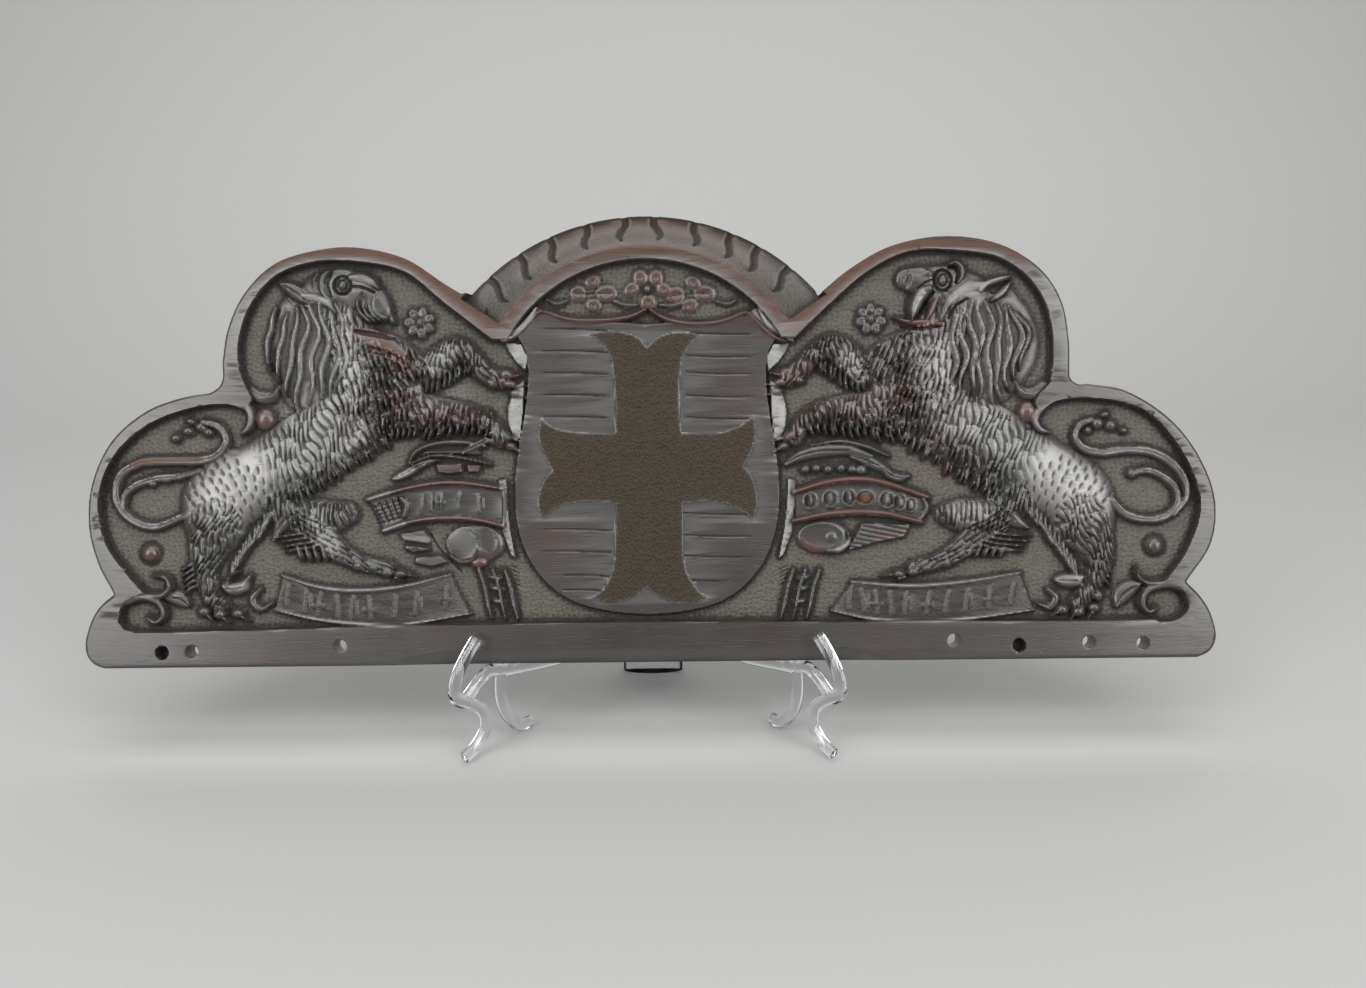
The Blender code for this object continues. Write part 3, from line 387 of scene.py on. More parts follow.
def carve_frame():
    """Sink the ground, round the rims' outer arris and mark the worn wood on them; paint highlights along the
    sunk ground's edge, stronger higher up, and on the upper lobes' outer rims.
    """
    area, distance = signed_distance(sunk_outline(), 8.0)
    W[area] = -GROUND_DEPTH * rise(-distance / SUNK_SLOPE)
    MASKS["ground"][area] = rise((-distance - 0.6) / 0.5)
    outer_area, outer = signed_distance(board_outline(), 9.0)
    edge = np.clip(RIM_ROUND - np.clip(-outer, 0.0, None), 0.0, RIM_ROUND)
    drop = RIM_ROUND - np.sqrt(RIM_ROUND ** 2 - edge ** 2)
    W[outer_area] -= drop * np.where(V[outer_area] > 14.0, 1.0, 0.6)
    rim = rise(1.0 - (-outer) / 7.0)
    high = rise((V[outer_area] - 135.0) / 35.0) * rise((178.0 - np.abs(U[outer_area])) / 14.0)
    MASKS["worn"][outer_area] = np.maximum(MASKS["worn"][outer_area], rim * (0.06 + 0.94 * high))
    web = (np.abs(U) < 125.0) & (np.abs(U) > 55.0) & (V > 120.0) & (W > -1.0)
    MASKS["worn"][web] = np.maximum(MASKS["worn"][web], 0.8 * rise((V[web] - 120.0) / 20.0))
    MASKS["red"][web] = np.maximum(MASKS["red"][web], 0.7)
    # Painted highlight along the rims' inner arris, stronger towards the top where the light falls
    arris = rise(1.0 - np.abs(distance - 0.3) / 0.9) * (V[area] > 22.0)
    arris *= 0.4 + 0.5 * rise((V[area] - 120.0) / 40.0)
    MASKS["painted_highlight"][area] = np.maximum(MASKS["painted_highlight"][area], arris)
    MASKS["worn"][area] *= 1.0 - arris
    # Painted reflections on the outer rims of the upper lobes, brighter on the right
    paint("painted_highlight", [(1046, 284, 8), (1062, 318, 8), (1063, 362, 8)], 0.6)
    paint("painted_highlight", [(247, 300, 7), (231, 340, 7), (228, 366, 7)], 0.35)


def radial(centre):
    """Distance in drawing units and angle of each grid point about a drawing point."""
    cu, cv = at(*centre)
    return np.hypot(U - cu, V - cv) / UNIT, np.arctan2(V - cv, U - cu)


def carve_arch():
    """Hollow the cove behind the arch's front arris, cut its notches, and wear the band in front of it."""
    front, angle = radial(ARCH_FRONT_CENTRE)
    back_u, back_v = at(*ARCH_BACK_CENTRE)
    front_u, front_v = at(*ARCH_FRONT_CENTRE)
    away_u, away_v = (back_u - front_u) / UNIT, (back_v - front_v) / UNIT
    toward = away_u * np.cos(angle) + away_v * np.sin(angle)
    squared = toward ** 2 - (away_u ** 2 + away_v ** 2) + ARCH_BACK_RADIUS ** 2
    reach = toward + np.sqrt(np.clip(squared, 0.0, None))
    share = (front - ARCH_FRONT_RADIUS) / np.clip(reach - ARCH_FRONT_RADIUS, 1.0, None)
    left_end = math.atan2(at(*ARCH_BACK_ENDS[0])[1] - front_v, at(*ARCH_BACK_ENDS[0])[0] - front_u)
    right_end = math.atan2(at(*ARCH_BACK_ENDS[1])[1] - front_v, at(*ARCH_BACK_ENDS[1])[0] - front_u)
    within = (angle < left_end + 0.02) & (angle > right_end - 0.02) & (share > 0.0) & (share < 1.03)
    deep = (BOARD_THICK - COVE_EDGE) * (1.0 - (1.0 - np.clip(share, 0.0, 1.0)) ** COVE_CURVE)
    W[within] = -deep[within]
    MASKS["painted_highlight"][within] = 0.0
    MASKS["red"][within] = (0.08 + 0.22 * rise((V - 150.0) / 40.0))[within]
    MASKS["worn"][within] = (0.45 * rise((V - 170.0) / 22.0) * rise((share - 0.45) / 0.4))[within]
    band = (angle < left_end) & (angle > right_end) & (np.abs(front - ARCH_FRONT_RADIUS + 5) < ARCH_BAND)
    band_worn = rise(1.3 - np.abs(front - ARCH_FRONT_RADIUS + 3.0) / 4.0)
    MASKS["worn"][band] = np.maximum(MASKS["worn"][band], band_worn[band])
    MASKS["red"][band] = np.maximum(MASKS["red"][band], 0.45)
    return within


# Where the notches of the cove meet its back edge, and each one's bent run down the cove:
# (share of the way from the back edge to the front arris, sway along the arch in drawing units, half width)
NOTCH_BACK_X = (483, 513, 544, 581, 621, 656, 698, 735, 763, 794)
NOTCH_RUN = ((-0.08, 0.0, 4.2), (0.12, -2.5, 4.0), (0.30, -1.5, 4.2), (0.46, 3.0, 4.6), (0.62, 5.5, 3.6),
             (0.76, 3.0, 1.6))
NOTCH_DEPTH = 1.25


def carve_notches():
    """The bent notches down the cove, each with a low ridge beside it."""
    middle = ARCH_BACK_CENTRE[0]
    for x in NOTCH_BACK_X:
        rise_y = math.sqrt(ARCH_BACK_RADIUS ** 2 - (x - middle) ** 2)
        back = (x, ARCH_BACK_CENTRE[1] - rise_y)
        inward = (ARCH_FRONT_CENTRE[0] - back[0], ARCH_FRONT_CENTRE[1] - back[1])
        size = math.hypot(*inward)
        inward = (inward[0] / size, inward[1] / size)
        deep = size - ARCH_FRONT_RADIUS
        side = -1.0 if x < middle else 1.0
        across = (-inward[1] * side, inward[0] * side)
        line = [(back[0] + inward[0] * deep * share - across[0] * sway,
                 back[1] + inward[1] * deep * share - across[1] * sway, half)
                for share, sway, half in NOTCH_RUN]
        cut(line, NOTCH_DEPTH, power=0.9)
        add([(px + across[0] * 5.0, py + across[1] * 5.0, 2.2) for px, py, half in line[1:5]], 0.35)


def carve_rail():
    """Chamfer the rail's lower front edge between two curved run-outs and bore the blind holes."""
    along = DRAWING_CENTRE[0] + U / UNIT
    inward = np.minimum(along - CHAMFER_ENDS[0], CHAMFER_ENDS[1] - along) / CHAMFER_RUN_OUT
    share = np.sin(np.clip(inward, 0.0, 1.0) * math.pi / 2)
    height = CHAMFER_HEIGHT * share
    inside = (V < height) & (share > 0.01)
    slope = CHAMFER_DEPTH * share * (1.0 - V / np.clip(height, 0.01, None))
    W[inside] = np.minimum(W[inside], -np.clip(slope, 0.0, CHAMFER_DEPTH)[inside])
    # A weak painted highlight on the chamfer
    MASKS["painted_highlight"][inside] = 0.3
    MASKS["worn"][inside] = 0.0
    for centre, through in HOLES:
        u, v = at(*centre)
        away = np.hypot(U - u, V - v)
        rounded = np.clip(HOLE_RADIUS + 0.5 - away, 0.0, 0.5)
        W[:] = np.where(away < HOLE_RADIUS + 0.5, W - rounded * 0.5, W)
        if not through:
            W[away < HOLE_RADIUS] = -BLIND_DEPTH


def carve_end_panels():
    """The little recessed panels at the rail's ends."""
    for centre in ((143, 614), (1166, 603)):
        area, a, b = turned(centre, 24, 19, 0)
        share = a * a + b * b
        hollow = -GROUND_DEPTH * rise((1 - share) / 0.25)
        W[area] = np.where(share < 1.0, np.minimum(W[area], hollow), W[area])
        MASKS["ground"][area] = np.maximum(MASKS["ground"][area], rise((0.9 - share) / 0.2))


SHIELD_CENTRE = 647.0
SHIELD_TOP = [(0, 322), (28, 320), (70, 320), (100, 312), (109, 304)]
SHIELD_EAR = [(109, 304), (118, 322), (132, 336)]
SHIELD_SIDE = [(132, 336), (124, 350), (121, 372), (124, 410), (130, 445), (134, 480), (134, 508), (129, 537),
               (118, 563), (100, 586), (75, 603), (40, 613), (0, 617)]
SHIELD_HEIGHT = 2.1
CROSS_HEIGHT = 3.3
SHIELD_BORDER = 9.0

# The cross: each arm's edge from its tip inward, then the lobed end of the next arm, in drawing units from
# the middle of the shield; the left half is drawn apart because the two differ
CROSS_RIGHT = [[(0, 346), (5, 340), (17, 333), (33, 331), (47, 332), (54, 335)],
               [(54, 335), (45, 343), (37, 356), (34, 373), (33, 400), (35, 432)],
               [(35, 432), (56, 432), (76, 431), (90, 426), (101, 419), (107, 413)],
               [(107, 413), (110, 430), (107, 448), (98, 466)],
               [(98, 466), (106, 476), (111, 492), (111, 508), (106, 523)],
               [(106, 523), (98, 513), (86, 507), (73, 503), (56, 502), (37, 503)],
               [(37, 503), (37, 533), (38, 560), (43, 577), (52, 590), (62, 598)],
               [(62, 598), (50, 603), (36, 604), (22, 602), (11, 597), (0, 588)]]
CROSS_LEFT = [[(0, 346), (8, 337), (22, 331), (38, 330), (50, 331), (59, 334)],
              [(59, 334), (47, 342), (38, 356), (35, 373), (33, 400), (33, 432)],
              [(33, 432), (56, 432), (76, 431), (90, 428), (101, 422), (107, 416)],
              [(107, 416), (110, 433), (106, 451), (96, 470)],
              [(96, 470), (103, 478), (109, 492), (110, 508), (105, 521)],
              [(105, 521), (98, 514), (88, 508), (74, 503), (56, 502), (33, 503)],
              [(33, 503), (33, 533), (34, 560), (38, 577), (46, 590), (57, 598)],
              [(57, 598), (46, 603), (34, 604), (22, 602), (11, 597), (0, 588)]]
HATCH_PITCH = 1.5
HATCH_DEPTH = 0.22


def mirrored(half_line):
    """The closed outline whose right half is given as distances from the shield's middle."""
    right = [(SHIELD_CENTRE + x, y) for x, y in half_line]
    left = [(SHIELD_CENTRE - x, y) for x, y in half_line if x > 0.5]
    return right + left[::-1]


def carve_shield():
    """The shield's field, its raised border, the cross with cut hatching and the level lines around it."""
    outline = mirrored(SHIELD_TOP + smooth(SHIELD_EAR, 4)[1:] + smooth(SHIELD_SIDE, 6)[1:])
    area, distance = plate(outline, SHIELD_HEIGHT, 0.9)
    border = rise((-distance - 0.2) / 0.5) * rise((SHIELD_BORDER * UNIT + distance) / 0.5)
    W[area] += 0.45 * border
    W[area] -= 0.35 * rise(1.0 - np.abs(distance + SHIELD_BORDER * UNIT + 0.5) / 0.6)
    MASKS["ground"][area] *= np.where(distance < 0.3, 0.25, 1.0)
    field = distance < -SHIELD_BORDER * UNIT - 0.2
    W[area] += 0.12 * np.sin(V[area] / 2.3 * math.pi) * field * 0.5
    for side, rows in ((-1, (330, 352, 374, 396, 418)), (1, (332, 355, 372, 395, 417)),
                       (-1, (531, 553, 577, 592)), (1, (513, 535, 556, 580))):
        for y in rows:
            reach = 104 if y < 560 else 84
            start = 40 if y < 500 else 37
            bow = 1.5 * side
            cut([(SHIELD_CENTRE + side * start, y, 1.1),
                 (SHIELD_CENTRE + side * (start + reach) / 2, y + bow, 1.3),
                 (SHIELD_CENTRE + side * reach, y + bow, 0.9)], 0.55)
    cross = [(SHIELD_CENTRE + x, y) for part in CROSS_RIGHT for x, y in smooth(part, 5)]
    cross += [(SHIELD_CENTRE - x, y) for part in CROSS_LEFT for x, y in smooth(part, 5)][::-1]
    area, distance = plate(cross, CROSS_HEIGHT, 0.45)
    inside = rise((-distance - 0.7) / 0.4)
    u, v = U[area], V[area]
    wave = 0.5 * np.sin(v * 0.37) + 0.4 * np.sin(u * 0.29)
    hatch = np.abs(np.sin((u * 0.94 + v * 0.34 + wave) / HATCH_PITCH * math.pi)) ** 0.5
    hatch = np.minimum(hatch, np.abs(np.sin((v * 0.94 - u * 0.34 + wave) / HATCH_PITCH * math.pi)) ** 0.5)
    W[area] -= HATCH_DEPTH * (1.0 - hatch) * inside * 1.6
    MASKS["cross"][area] = np.maximum(MASKS["cross"][area], inside)
    MASKS["ground"][area] *= np.where(distance < 0.2, 0.0, 1.0)
    # Painted highlight along the cross's edges
    edge = rise(1.3 - np.abs(distance + 0.25) / 0.55)
    MASKS["painted_highlight"][area] = np.maximum(MASKS["painted_highlight"][area], 0.85 * edge)


def carve_shield_head():
    """The two sagging rolls over the shield, its ears and the bevelled scraps beside it."""
    left = [(503, 341, 2.0), (515, 335, 3.0), (530, 320, 3.0), (540, 311, 3.0), (555, 315, 3.2),
            (570, 319, 3.4), (600, 320, 3.4), (630, 316, 3.4), (645, 309, 2.4)]
    right = [(786, 341, 2.0), (772, 335, 3.0), (757, 321, 3.0), (747, 312, 3.0), (730, 318, 3.2),
             (715, 322, 3.4), (690, 323, 3.4), (665, 318, 3.4), (650, 309, 2.4)]
    for line in (left, right):
        stand(line, 3.6, power=0.6)
        paint("red", line, 1.0)
    for side in (-1, 1):
        ear = [(SHIELD_CENTRE + side * 112, 308, 3.0), (SHIELD_CENTRE + side * 121, 322, 6.0),
               (SHIELD_CENTRE + side * 136, 334, 5.0), (SHIELD_CENTRE + side * 146, 340, 2.0)]
        stand(ear, 3.0, power=0.8)
        # Painted highlight on the ears
        paint("painted_highlight", ear, 0.9)
        for outline in ([(144, 341), (126, 343), (120, 356), (121, 372), (132, 362), (139, 352)],
                        [(123, 378), (135, 388), (141, 408), (140, 424), (133, 442), (127, 438), (124, 410)],
                        [(141, 478), (150, 480), (148, 510), (146, 532), (137, 556), (131, 560), (137, 530),
                         (140, 505)]):
            points = [(SHIELD_CENTRE + side * x, y) for x, y in outline]
            area, distance = signed_distance(points, 1.5)
            out = (U[area] - min(at(*p)[0] for p in points)) * side
            top = 3.4 - 0.28 * np.clip(out - out.min(), 0.0, 8.0) - GROUND_DEPTH
            wall = rise(-distance / 0.3)
            W[area] = np.where(distance < 0, np.maximum(W[area], top * wall - GROUND_DEPTH * (1 - wall)),
                               W[area])
            # Painted highlight on the bevelled scraps
            MASKS["painted_highlight"][area] = np.maximum(MASKS["painted_highlight"][area], 0.75 * rise(-distance / 0.5))


def leaf(line, height, vein=0.5, power=0.45):
    """A leaf along its vein: a limb that is grooved down its middle."""
    stand(line, height, power=power)
    middle = [(x, y, max(0.8, half * 0.22)) for x, y, half in line[:-1]]
    if len(middle) > 1:
        cut(middle, vein)


def petals(places, height, red, dent, depth):
    """Low swellings (centre, half wide, half high, turn), each painted red and dented."""
    for centre, wide, high, turn in places:
        swell(centre, wide, high, height, turn, 0.35)
        paint("red", [(centre[0] - 4, centre[1], 8), (centre[0] + 4, centre[1], 8)], red)
        press(centre, wide * dent, high * dent, depth, turn)


def carve_tympanum():
    """The five lobed flower under the arch and the three leaved sprays beside it."""
    flower = [((640, 276), 8, 9, 15), ((656, 276), 8, 9, -15), ((631, 288), 9, 7, 30),
              ((664, 288), 9, 7, -30), ((648, 301), 9, 8, 0)]
    petals(flower, 1.4, 0.7, 0.5, 0.5)
    swell((647, 288), 5, 5, 2.6)
    paint("red", [(640, 302, 8), (655, 302, 8)], 0.8)
    sprays = [[((577, 292), 9, 9, 0), ((592, 280), 9, 7, 20), ((606, 292), 12, 9, 0),
               ((593, 304), 9, 7, -15)],
              [((676, 294), 10, 9, 0), ((693, 281), 9, 7, -20), ((705, 292), 12, 9, 0),
               ((690, 304), 9, 7, 15)]]
    for spray in sprays:
        petals(spray, 1.3, 0.6, 0.55, 0.55)
        first, second, third = (centre for centre, _, _, _ in spray[:3])
        cut([(first[0] - 4, first[1], 1.2), (second[0], 292, 1.4), (third[0] + 6, 292, 1.2)], 0.5)
    stems = [[(614, 300, 2.4), (624, 304, 2.8), (636, 304, 2.0)],
             [(682, 302, 2.4), (672, 305, 2.8), (660, 304, 2.0)],
             [(566, 300, 2.0), (556, 303, 2.6), (545, 298, 1.5)],
             [(716, 300, 2.0), (728, 303, 2.6), (738, 298, 1.5)]]
    for stem in stems:
        stand(stem, 1.7)


def rosette(centre, radius, petals, turn):
    """A small flower with a dent in each petal and a ring of dots about its middle."""
    for i in range(petals):
        angle = turn + 2 * math.pi * i / petals
        place = (centre[0] + 0.62 * radius * math.cos(angle), centre[1] + 0.62 * radius * math.sin(angle))
        swell(place, radius * 0.4, radius * 0.33, 2.4, -math.degrees(angle), 0.45)
        press(place, radius * 0.2, radius * 0.16, 0.6, -math.degrees(angle))
    swell(centre, radius * 0.32, radius * 0.32, 2.8, 0, 0.5)
    for i in range(petals):
        angle = turn + math.pi / petals + 2 * math.pi * i / petals
        place = (centre[0] + 0.2 * radius * math.cos(angle), centre[1] + 0.2 * radius * math.sin(angle))
        press(place, radius * 0.07, radius * 0.07, 0.5)


# The lions. Each limb is a line of (x, y, half width), a height in mm and how sharp its back is.
RIGHT_BODY = [
    ([(1060, 478, 34), (1080, 500, 38), (1090, 525, 28)], 4.0, 0.5),
    ([(905, 388, 34), (950, 420, 39), (1000, 447, 38), (1045, 474, 37), (1080, 500, 32)], 4.0, 0.5),
    ([(955, 318, 26), (935, 345, 32), (925, 375, 36), (930, 395, 34)], 3.9, 0.5),
    ([(862, 374, 14), (850, 358, 17), (833, 346, 14), (816, 353, 11), (802, 367, 11), (788, 378, 10)], 3.9,
     0.5),
    ([(912, 408, 26), (882, 409, 21), (852, 410, 17), (822, 413, 13), (804, 422, 10), (796, 438, 9)], 3.7,
     0.5),
    ([(1082, 520, 30), (1098, 545, 20), (1102, 566, 13), (1092, 588, 11), (1080, 604, 10)], 4.0, 0.5),
    ([(1016, 500, 20), (992, 516, 19), (966, 516, 18), (948, 514, 12)], 3.2, 0.5),
    ([(1000, 520, 15), (975, 538, 14), (958, 552, 11), (940, 562, 9), (915, 568, 8)], 3.0, 0.5),
    ([(915, 350, 24), (892, 358, 21), (872, 370, 15)], 3.6, 0.5),
]
LEFT_BODY = [
    ([(232, 482, 34), (215, 503, 38), (210, 527, 28)], 4.0, 0.5),
    ([(390, 390, 34), (345, 425, 39), (300, 452, 38), (255, 480, 37), (222, 503, 32)], 4.0, 0.5),
    ([(335, 322, 26), (352, 348, 32), (362, 378, 36), (360, 398, 34)], 3.9, 0.5),
    ([(428, 374, 14), (440, 360, 17), (456, 349, 14), (470, 356, 11), (482, 371, 11), (500, 380, 10)], 3.9,
     0.5),
    ([(382, 406, 28), (408, 410, 22), (440, 413, 16), (470, 416, 12), (492, 426, 9), (500, 440, 9)], 3.7,
     0.5),
    ([(215, 525, 30), (205, 550, 20), (203, 572, 13), (208, 592, 11), (218, 606, 10)], 4.0, 0.5),
    ([(282, 508, 20), (300, 516, 19), (326, 518, 18), (346, 514, 12)], 3.2, 0.5),
    ([(300, 522, 15), (322, 538, 14), (340, 554, 11), (360, 564, 9), (388, 569, 8)], 3.0, 0.5),
    ([(375, 352, 24), (396, 360, 21), (418, 370, 14)], 3.5, 0.5),
]
BODY_BLEND = 0.9
HAUNCH_NICKS = 60


def fringe(line, spacing, lean, length, half, height, curl=0.0):
    """Short pointed locks that stand out of a limb's edge, one after another along a line."""
    run = smooth(line, 8)
    travelled = due = 0.0
    count = 0
    for (ax, ay), (bx, by) in zip(run, run[1:]):
        travelled += math.hypot(bx - ax, by - ay)
        while travelled >= due:
            size = length * (0.75 + 0.5 * float(scatter(count * 3.0 + ax)))
            stand([(ax - lean[0] * size * 0.3, ay - lean[1] * size * 0.3, half * 0.8),
                   (ax + lean[0] * size * 0.4 - curl * lean[1], ay + lean[1] * size * 0.4 + curl * lean[0],
                    half),
                   (ax + lean[0] * size, ay + lean[1] * size, half * 0.3)], height, 0.6, steps=3)
            due += spacing
            count += 1


BELLY_RIGHT = [(905, 428), (930, 442), (960, 462), (990, 482), (1016, 500)]
BELLY_LEFT = [(385, 430), (358, 446), (328, 466), (300, 486), (282, 502)]
ARM_FOOT_RIGHT = [(812, 424), (840, 424), (870, 428), (905, 428)]
ARM_FOOT_LEFT = [(490, 426), (460, 424), (430, 426), (385, 430)]
ELBOW_RIGHT = [(822, 362), (838, 372), (852, 378), (866, 380)]
ELBOW_LEFT = [(468, 362), (452, 372), (438, 378), (424, 380)]
LEG_BACK_RIGHT = [(1028, 500), (1046, 522), (1064, 546), (1080, 570)]
LEG_BACK_LEFT = [(268, 512), (254, 530), (240, 550), (226, 574)]


def carve_bodies():
    for side, back, belly in ((1, LEG_BACK_RIGHT, BELLY_RIGHT), (-1, LEG_BACK_LEFT, BELLY_LEFT)):
        fringe(back, 7.0, (side * 0.25, 0.97), 18.0, 3.2, 3.0, side * 2.0)
        fringe(belly, 6.5, (-side * 0.15, 1.0), 17.0, 3.1, 2.9, -side * 2.0)
    for line, height, power in RIGHT_BODY[:4] + LEFT_BODY[:4] + RIGHT_BODY[4:] + LEFT_BODY[4:]:
        stand(line, height, power, blend=BODY_BLEND)
    for side, belly, arm, elbow in ((1, BELLY_RIGHT, ARM_FOOT_RIGHT, ELBOW_RIGHT),
                                    (-1, BELLY_LEFT, ARM_FOOT_LEFT, ELBOW_LEFT)):
        fringe(offset_line(belly, 0, -12), 7.0, (-side * 0.2, 0.98), 16.0, 3.0, 4.0, -side * 2.0)
        fringe(arm, 7.0, (side * 0.2, 0.98), 12.0, 2.9, 3.7, side * 1.6)
        fringe(offset_line(arm, 0, -10), 7.0, (side * 0.25, 0.97), 13.0, 2.9, 4.2, side * 1.6)
        fringe(elbow, 6.0, (side * 0.1, 1.0), 11.0, 2.8, 3.9, side * 1.6)
    for x in (0, 1, 2, 3, 4):
        stand([(1098 + x, 548 + 7 * x, 3), (1108, 553 + 7 * x, 2.6), (1116 - x, 560 + 7 * x, 0.8)], 3.0, 0.6)
        stand([(196 + x, 560 + 6 * x, 3), (187, 566 + 6 * x, 2.6), (179 + x, 572 + 6 * x, 0.8)], 3.0, 0.6)
    # The crease where each forearm folds back over the upper arm
    cut([(879, 346, 1.6), (868, 366, 2.2), (853, 388, 1.6)], 1.3)
    cut([(408, 352, 1.6), (414, 370, 2.2), (424, 388, 1.6)], 1.1)
    # Fur over the flanks, legs and arms: (limb, tip angle, pitch, length, depth, bend)
    for limb, angle, pitch, length, depth, bend in (
            (1, -104, 2.7, 9.5, 0.75, 16), (2, -96, 2.7, 8.0, 0.7, 0), (3, -96, 2.3, 7.0, 0.75, -40),
            (4, -88, 2.4, 8.5, 0.8, 20), (5, -66, 2.4, 7.5, 0.7, 0), (6, -96, 2.4, 12.0, 0.75, 0),
            (7, -150, 2.2, 9.0, 0.6, 0), (8, -112, 2.4, 9.0, 0.75, 0)):
        stop = 0.78 if limb == 1 else 1.2
        fur(RIGHT_BODY[limb][0], angle, pitch, length, depth, bend=bend, stop=stop)
        fur(LEFT_BODY[limb][0], -180 - angle, pitch, length, depth, bend=-bend, stop=stop)
    # The haunches are smooth, with short gouge nicks
    for side, centre in ((1, (1070, 492)), (-1, (228, 496))):
        for i in range(HAUNCH_NICKS):
            spread = math.sqrt((i + 0.5) / HAUNCH_NICKS)
            x = centre[0] + side * 44 * spread * math.cos(i * 2.4)
            y = centre[1] + 38 * spread * math.sin(i * 2.4)
            press((x, y), 1.9, 5.2, 0.6, -side * (24 + 20 * spread * math.cos(i * 2.4)), 0.7)
    # Reddish arms and flanks, then painted highlights on the haunches, chests, flanks, legs and elbows
    for line in ([(905, 395, 12), (880, 400, 16), (850, 405, 14)], [(806, 366, 8), (784, 378, 9)],
                 [(920, 470, 10), (950, 470, 8)], [(396, 366, 9), (412, 372, 7)],
                 [(500, 380, 8), (516, 378, 8)],
                 [(400, 402, 14), (440, 412, 12), (476, 416, 8)], [(800, 430, 5), (786, 440, 6)],
                 [(500, 448, 6), (512, 454, 6)], [(372, 330, 9), (352, 344, 7)]):
        paint("red", line, 0.75)
    for line in ([(925, 350, 22), (940, 400, 26), (975, 425, 26)], [(1060, 480, 26), (1090, 505, 26)],
                 [(350, 350, 22), (345, 400, 26), (315, 430, 26)], [(240, 480, 26), (212, 505, 24)],
                 [(960, 512, 14), (985, 512, 12)], [(315, 520, 14), (330, 545, 12)],
                 [(848, 358, 14), (862, 376, 10)], [(432, 364, 14), (450, 350, 10)],
                 [(1000, 440, 24), (1040, 462, 24)], [(285, 450, 24), (255, 468, 24)],
                 [(1050, 476, 34), (1084, 500, 34)], [(246, 480, 34), (222, 504, 34)],
                 [(300, 420, 26), (330, 400, 26)], [(992, 400, 20), (1000, 420, 20)],
                 [(284, 466, 22), (325, 450, 22), (362, 428, 16)]):
        paint("painted_highlight", line, 0.9)
    for line in ([(845, 395, 20), (880, 400, 20)], [(452, 395, 20), (416, 400, 20)]):
        paint("painted_highlight", line, 0.5)
    for line in ([(1050, 470, 30), (1085, 495, 32)], [(250, 474, 30), (220, 499, 32)],
                 [(942, 345, 14), (945, 390, 18)], [(348, 345, 12), (350, 395, 18)]):
        paint("painted_highlight", line, 1.0)


# Manes: each lock is a wavy pointed ridge from the cheek to its tip
RIGHT_LOCKS = [
    [(957, 306, 2.4), (954, 330, 4.6), (956, 356, 5.0), (952, 384, 1.2)],
    [(964, 302, 2.4), (962, 328, 4.4), (966, 358, 5.0), (961, 390, 1.2)],
    [(972, 300, 2.4), (972, 326, 4.4), (976, 358, 5.2), (972, 396, 1.2)],
    [(980, 300, 2.4), (982, 328, 4.6), (980, 362, 5.4), (981, 398, 1.2)],
    [(988, 301, 2.4), (992, 330, 4.6), (988, 366, 5.4), (996, 404, 1.2)],
    [(996, 303, 2.4), (1002, 332, 4.6), (996, 368, 5.4), (1003, 400, 1.2)],
    [(1004, 305, 2.4), (1012, 332, 4.4), (1006, 364, 5.0), (1010, 392, 1.2)],
    [(1010, 306, 2.4), (1022, 328, 4.0), (1018, 352, 4.6), (1014, 380, 1.2)],
    [(1017, 312, 2.2), (1027, 328, 3.4), (1027, 346, 3.8), (1020, 370, 1.2)],
]
LEFT_LOCKS = [
    [(334, 304, 2.4), (343, 330, 4.6), (345, 356, 5.0), (336, 388, 1.2)],
    [(326, 304, 2.4), (335, 330, 4.6), (336, 362, 5.2), (327, 400, 1.2)],
    [(318, 304, 2.4), (326, 330, 4.6), (324, 364, 5.4), (318, 398, 1.2)],
    [(310, 304, 2.4), (316, 330, 4.6), (311, 366, 5.4), (309, 404, 1.2)],
    [(302, 306, 2.4), (306, 332, 4.6), (298, 368, 5.4), (297, 414, 1.2)],
    [(294, 308, 2.4), (296, 334, 4.4), (288, 364, 5.0), (288, 396, 1.2)],
    [(286, 312, 2.2), (284, 334, 4.2), (275, 352, 4.4), (281, 382, 1.2)],
    [(276, 308, 2.0), (272, 326, 3.8), (264, 342, 3.8), (272, 370, 1.2)],
]


def carve_manes():
    for locks, under in ((RIGHT_LOCKS, [(992, 314, 36), (998, 342, 44), (992, 374, 30)]),
                         (LEFT_LOCKS, [(306, 318, 34), (306, 348, 42), (306, 382, 30)])):
        stand(under, 2.8, 0.45)
        waves = [[(x + 2.4 * math.sin(y / 8.0 + i * 1.3), y, half) for x, y, half in smooth(line, 4)]
                 for i, line in enumerate(locks)]
        for i, wavy in enumerate(waves):
            stand(wavy, 3.9 + 1.1 * float(scatter(i * 5.0 + 2.0)), 0.55, steps=2)
        for wavy in waves:
            # Painted highlight along each lock
            paint("painted_highlight", [(x, y, half * 0.9) for x, y, half in wavy[:-1]], 0.74, steps=2)
            for off in (-0.45, 0.1, 0.6):
                cut([(x + half * off, y, 0.9) for x, y, half in wavy[:-2]], 0.5, 0.8, steps=2)


def ring(centre, wide, high, half, height):
    """A raised ring, or with a negative height a groove, about a point."""
    add([(centre[0] + wide * math.cos(a), centre[1] + high * math.sin(a), half)
         for a in np.linspace(0, 2 * math.pi, 13)], height)


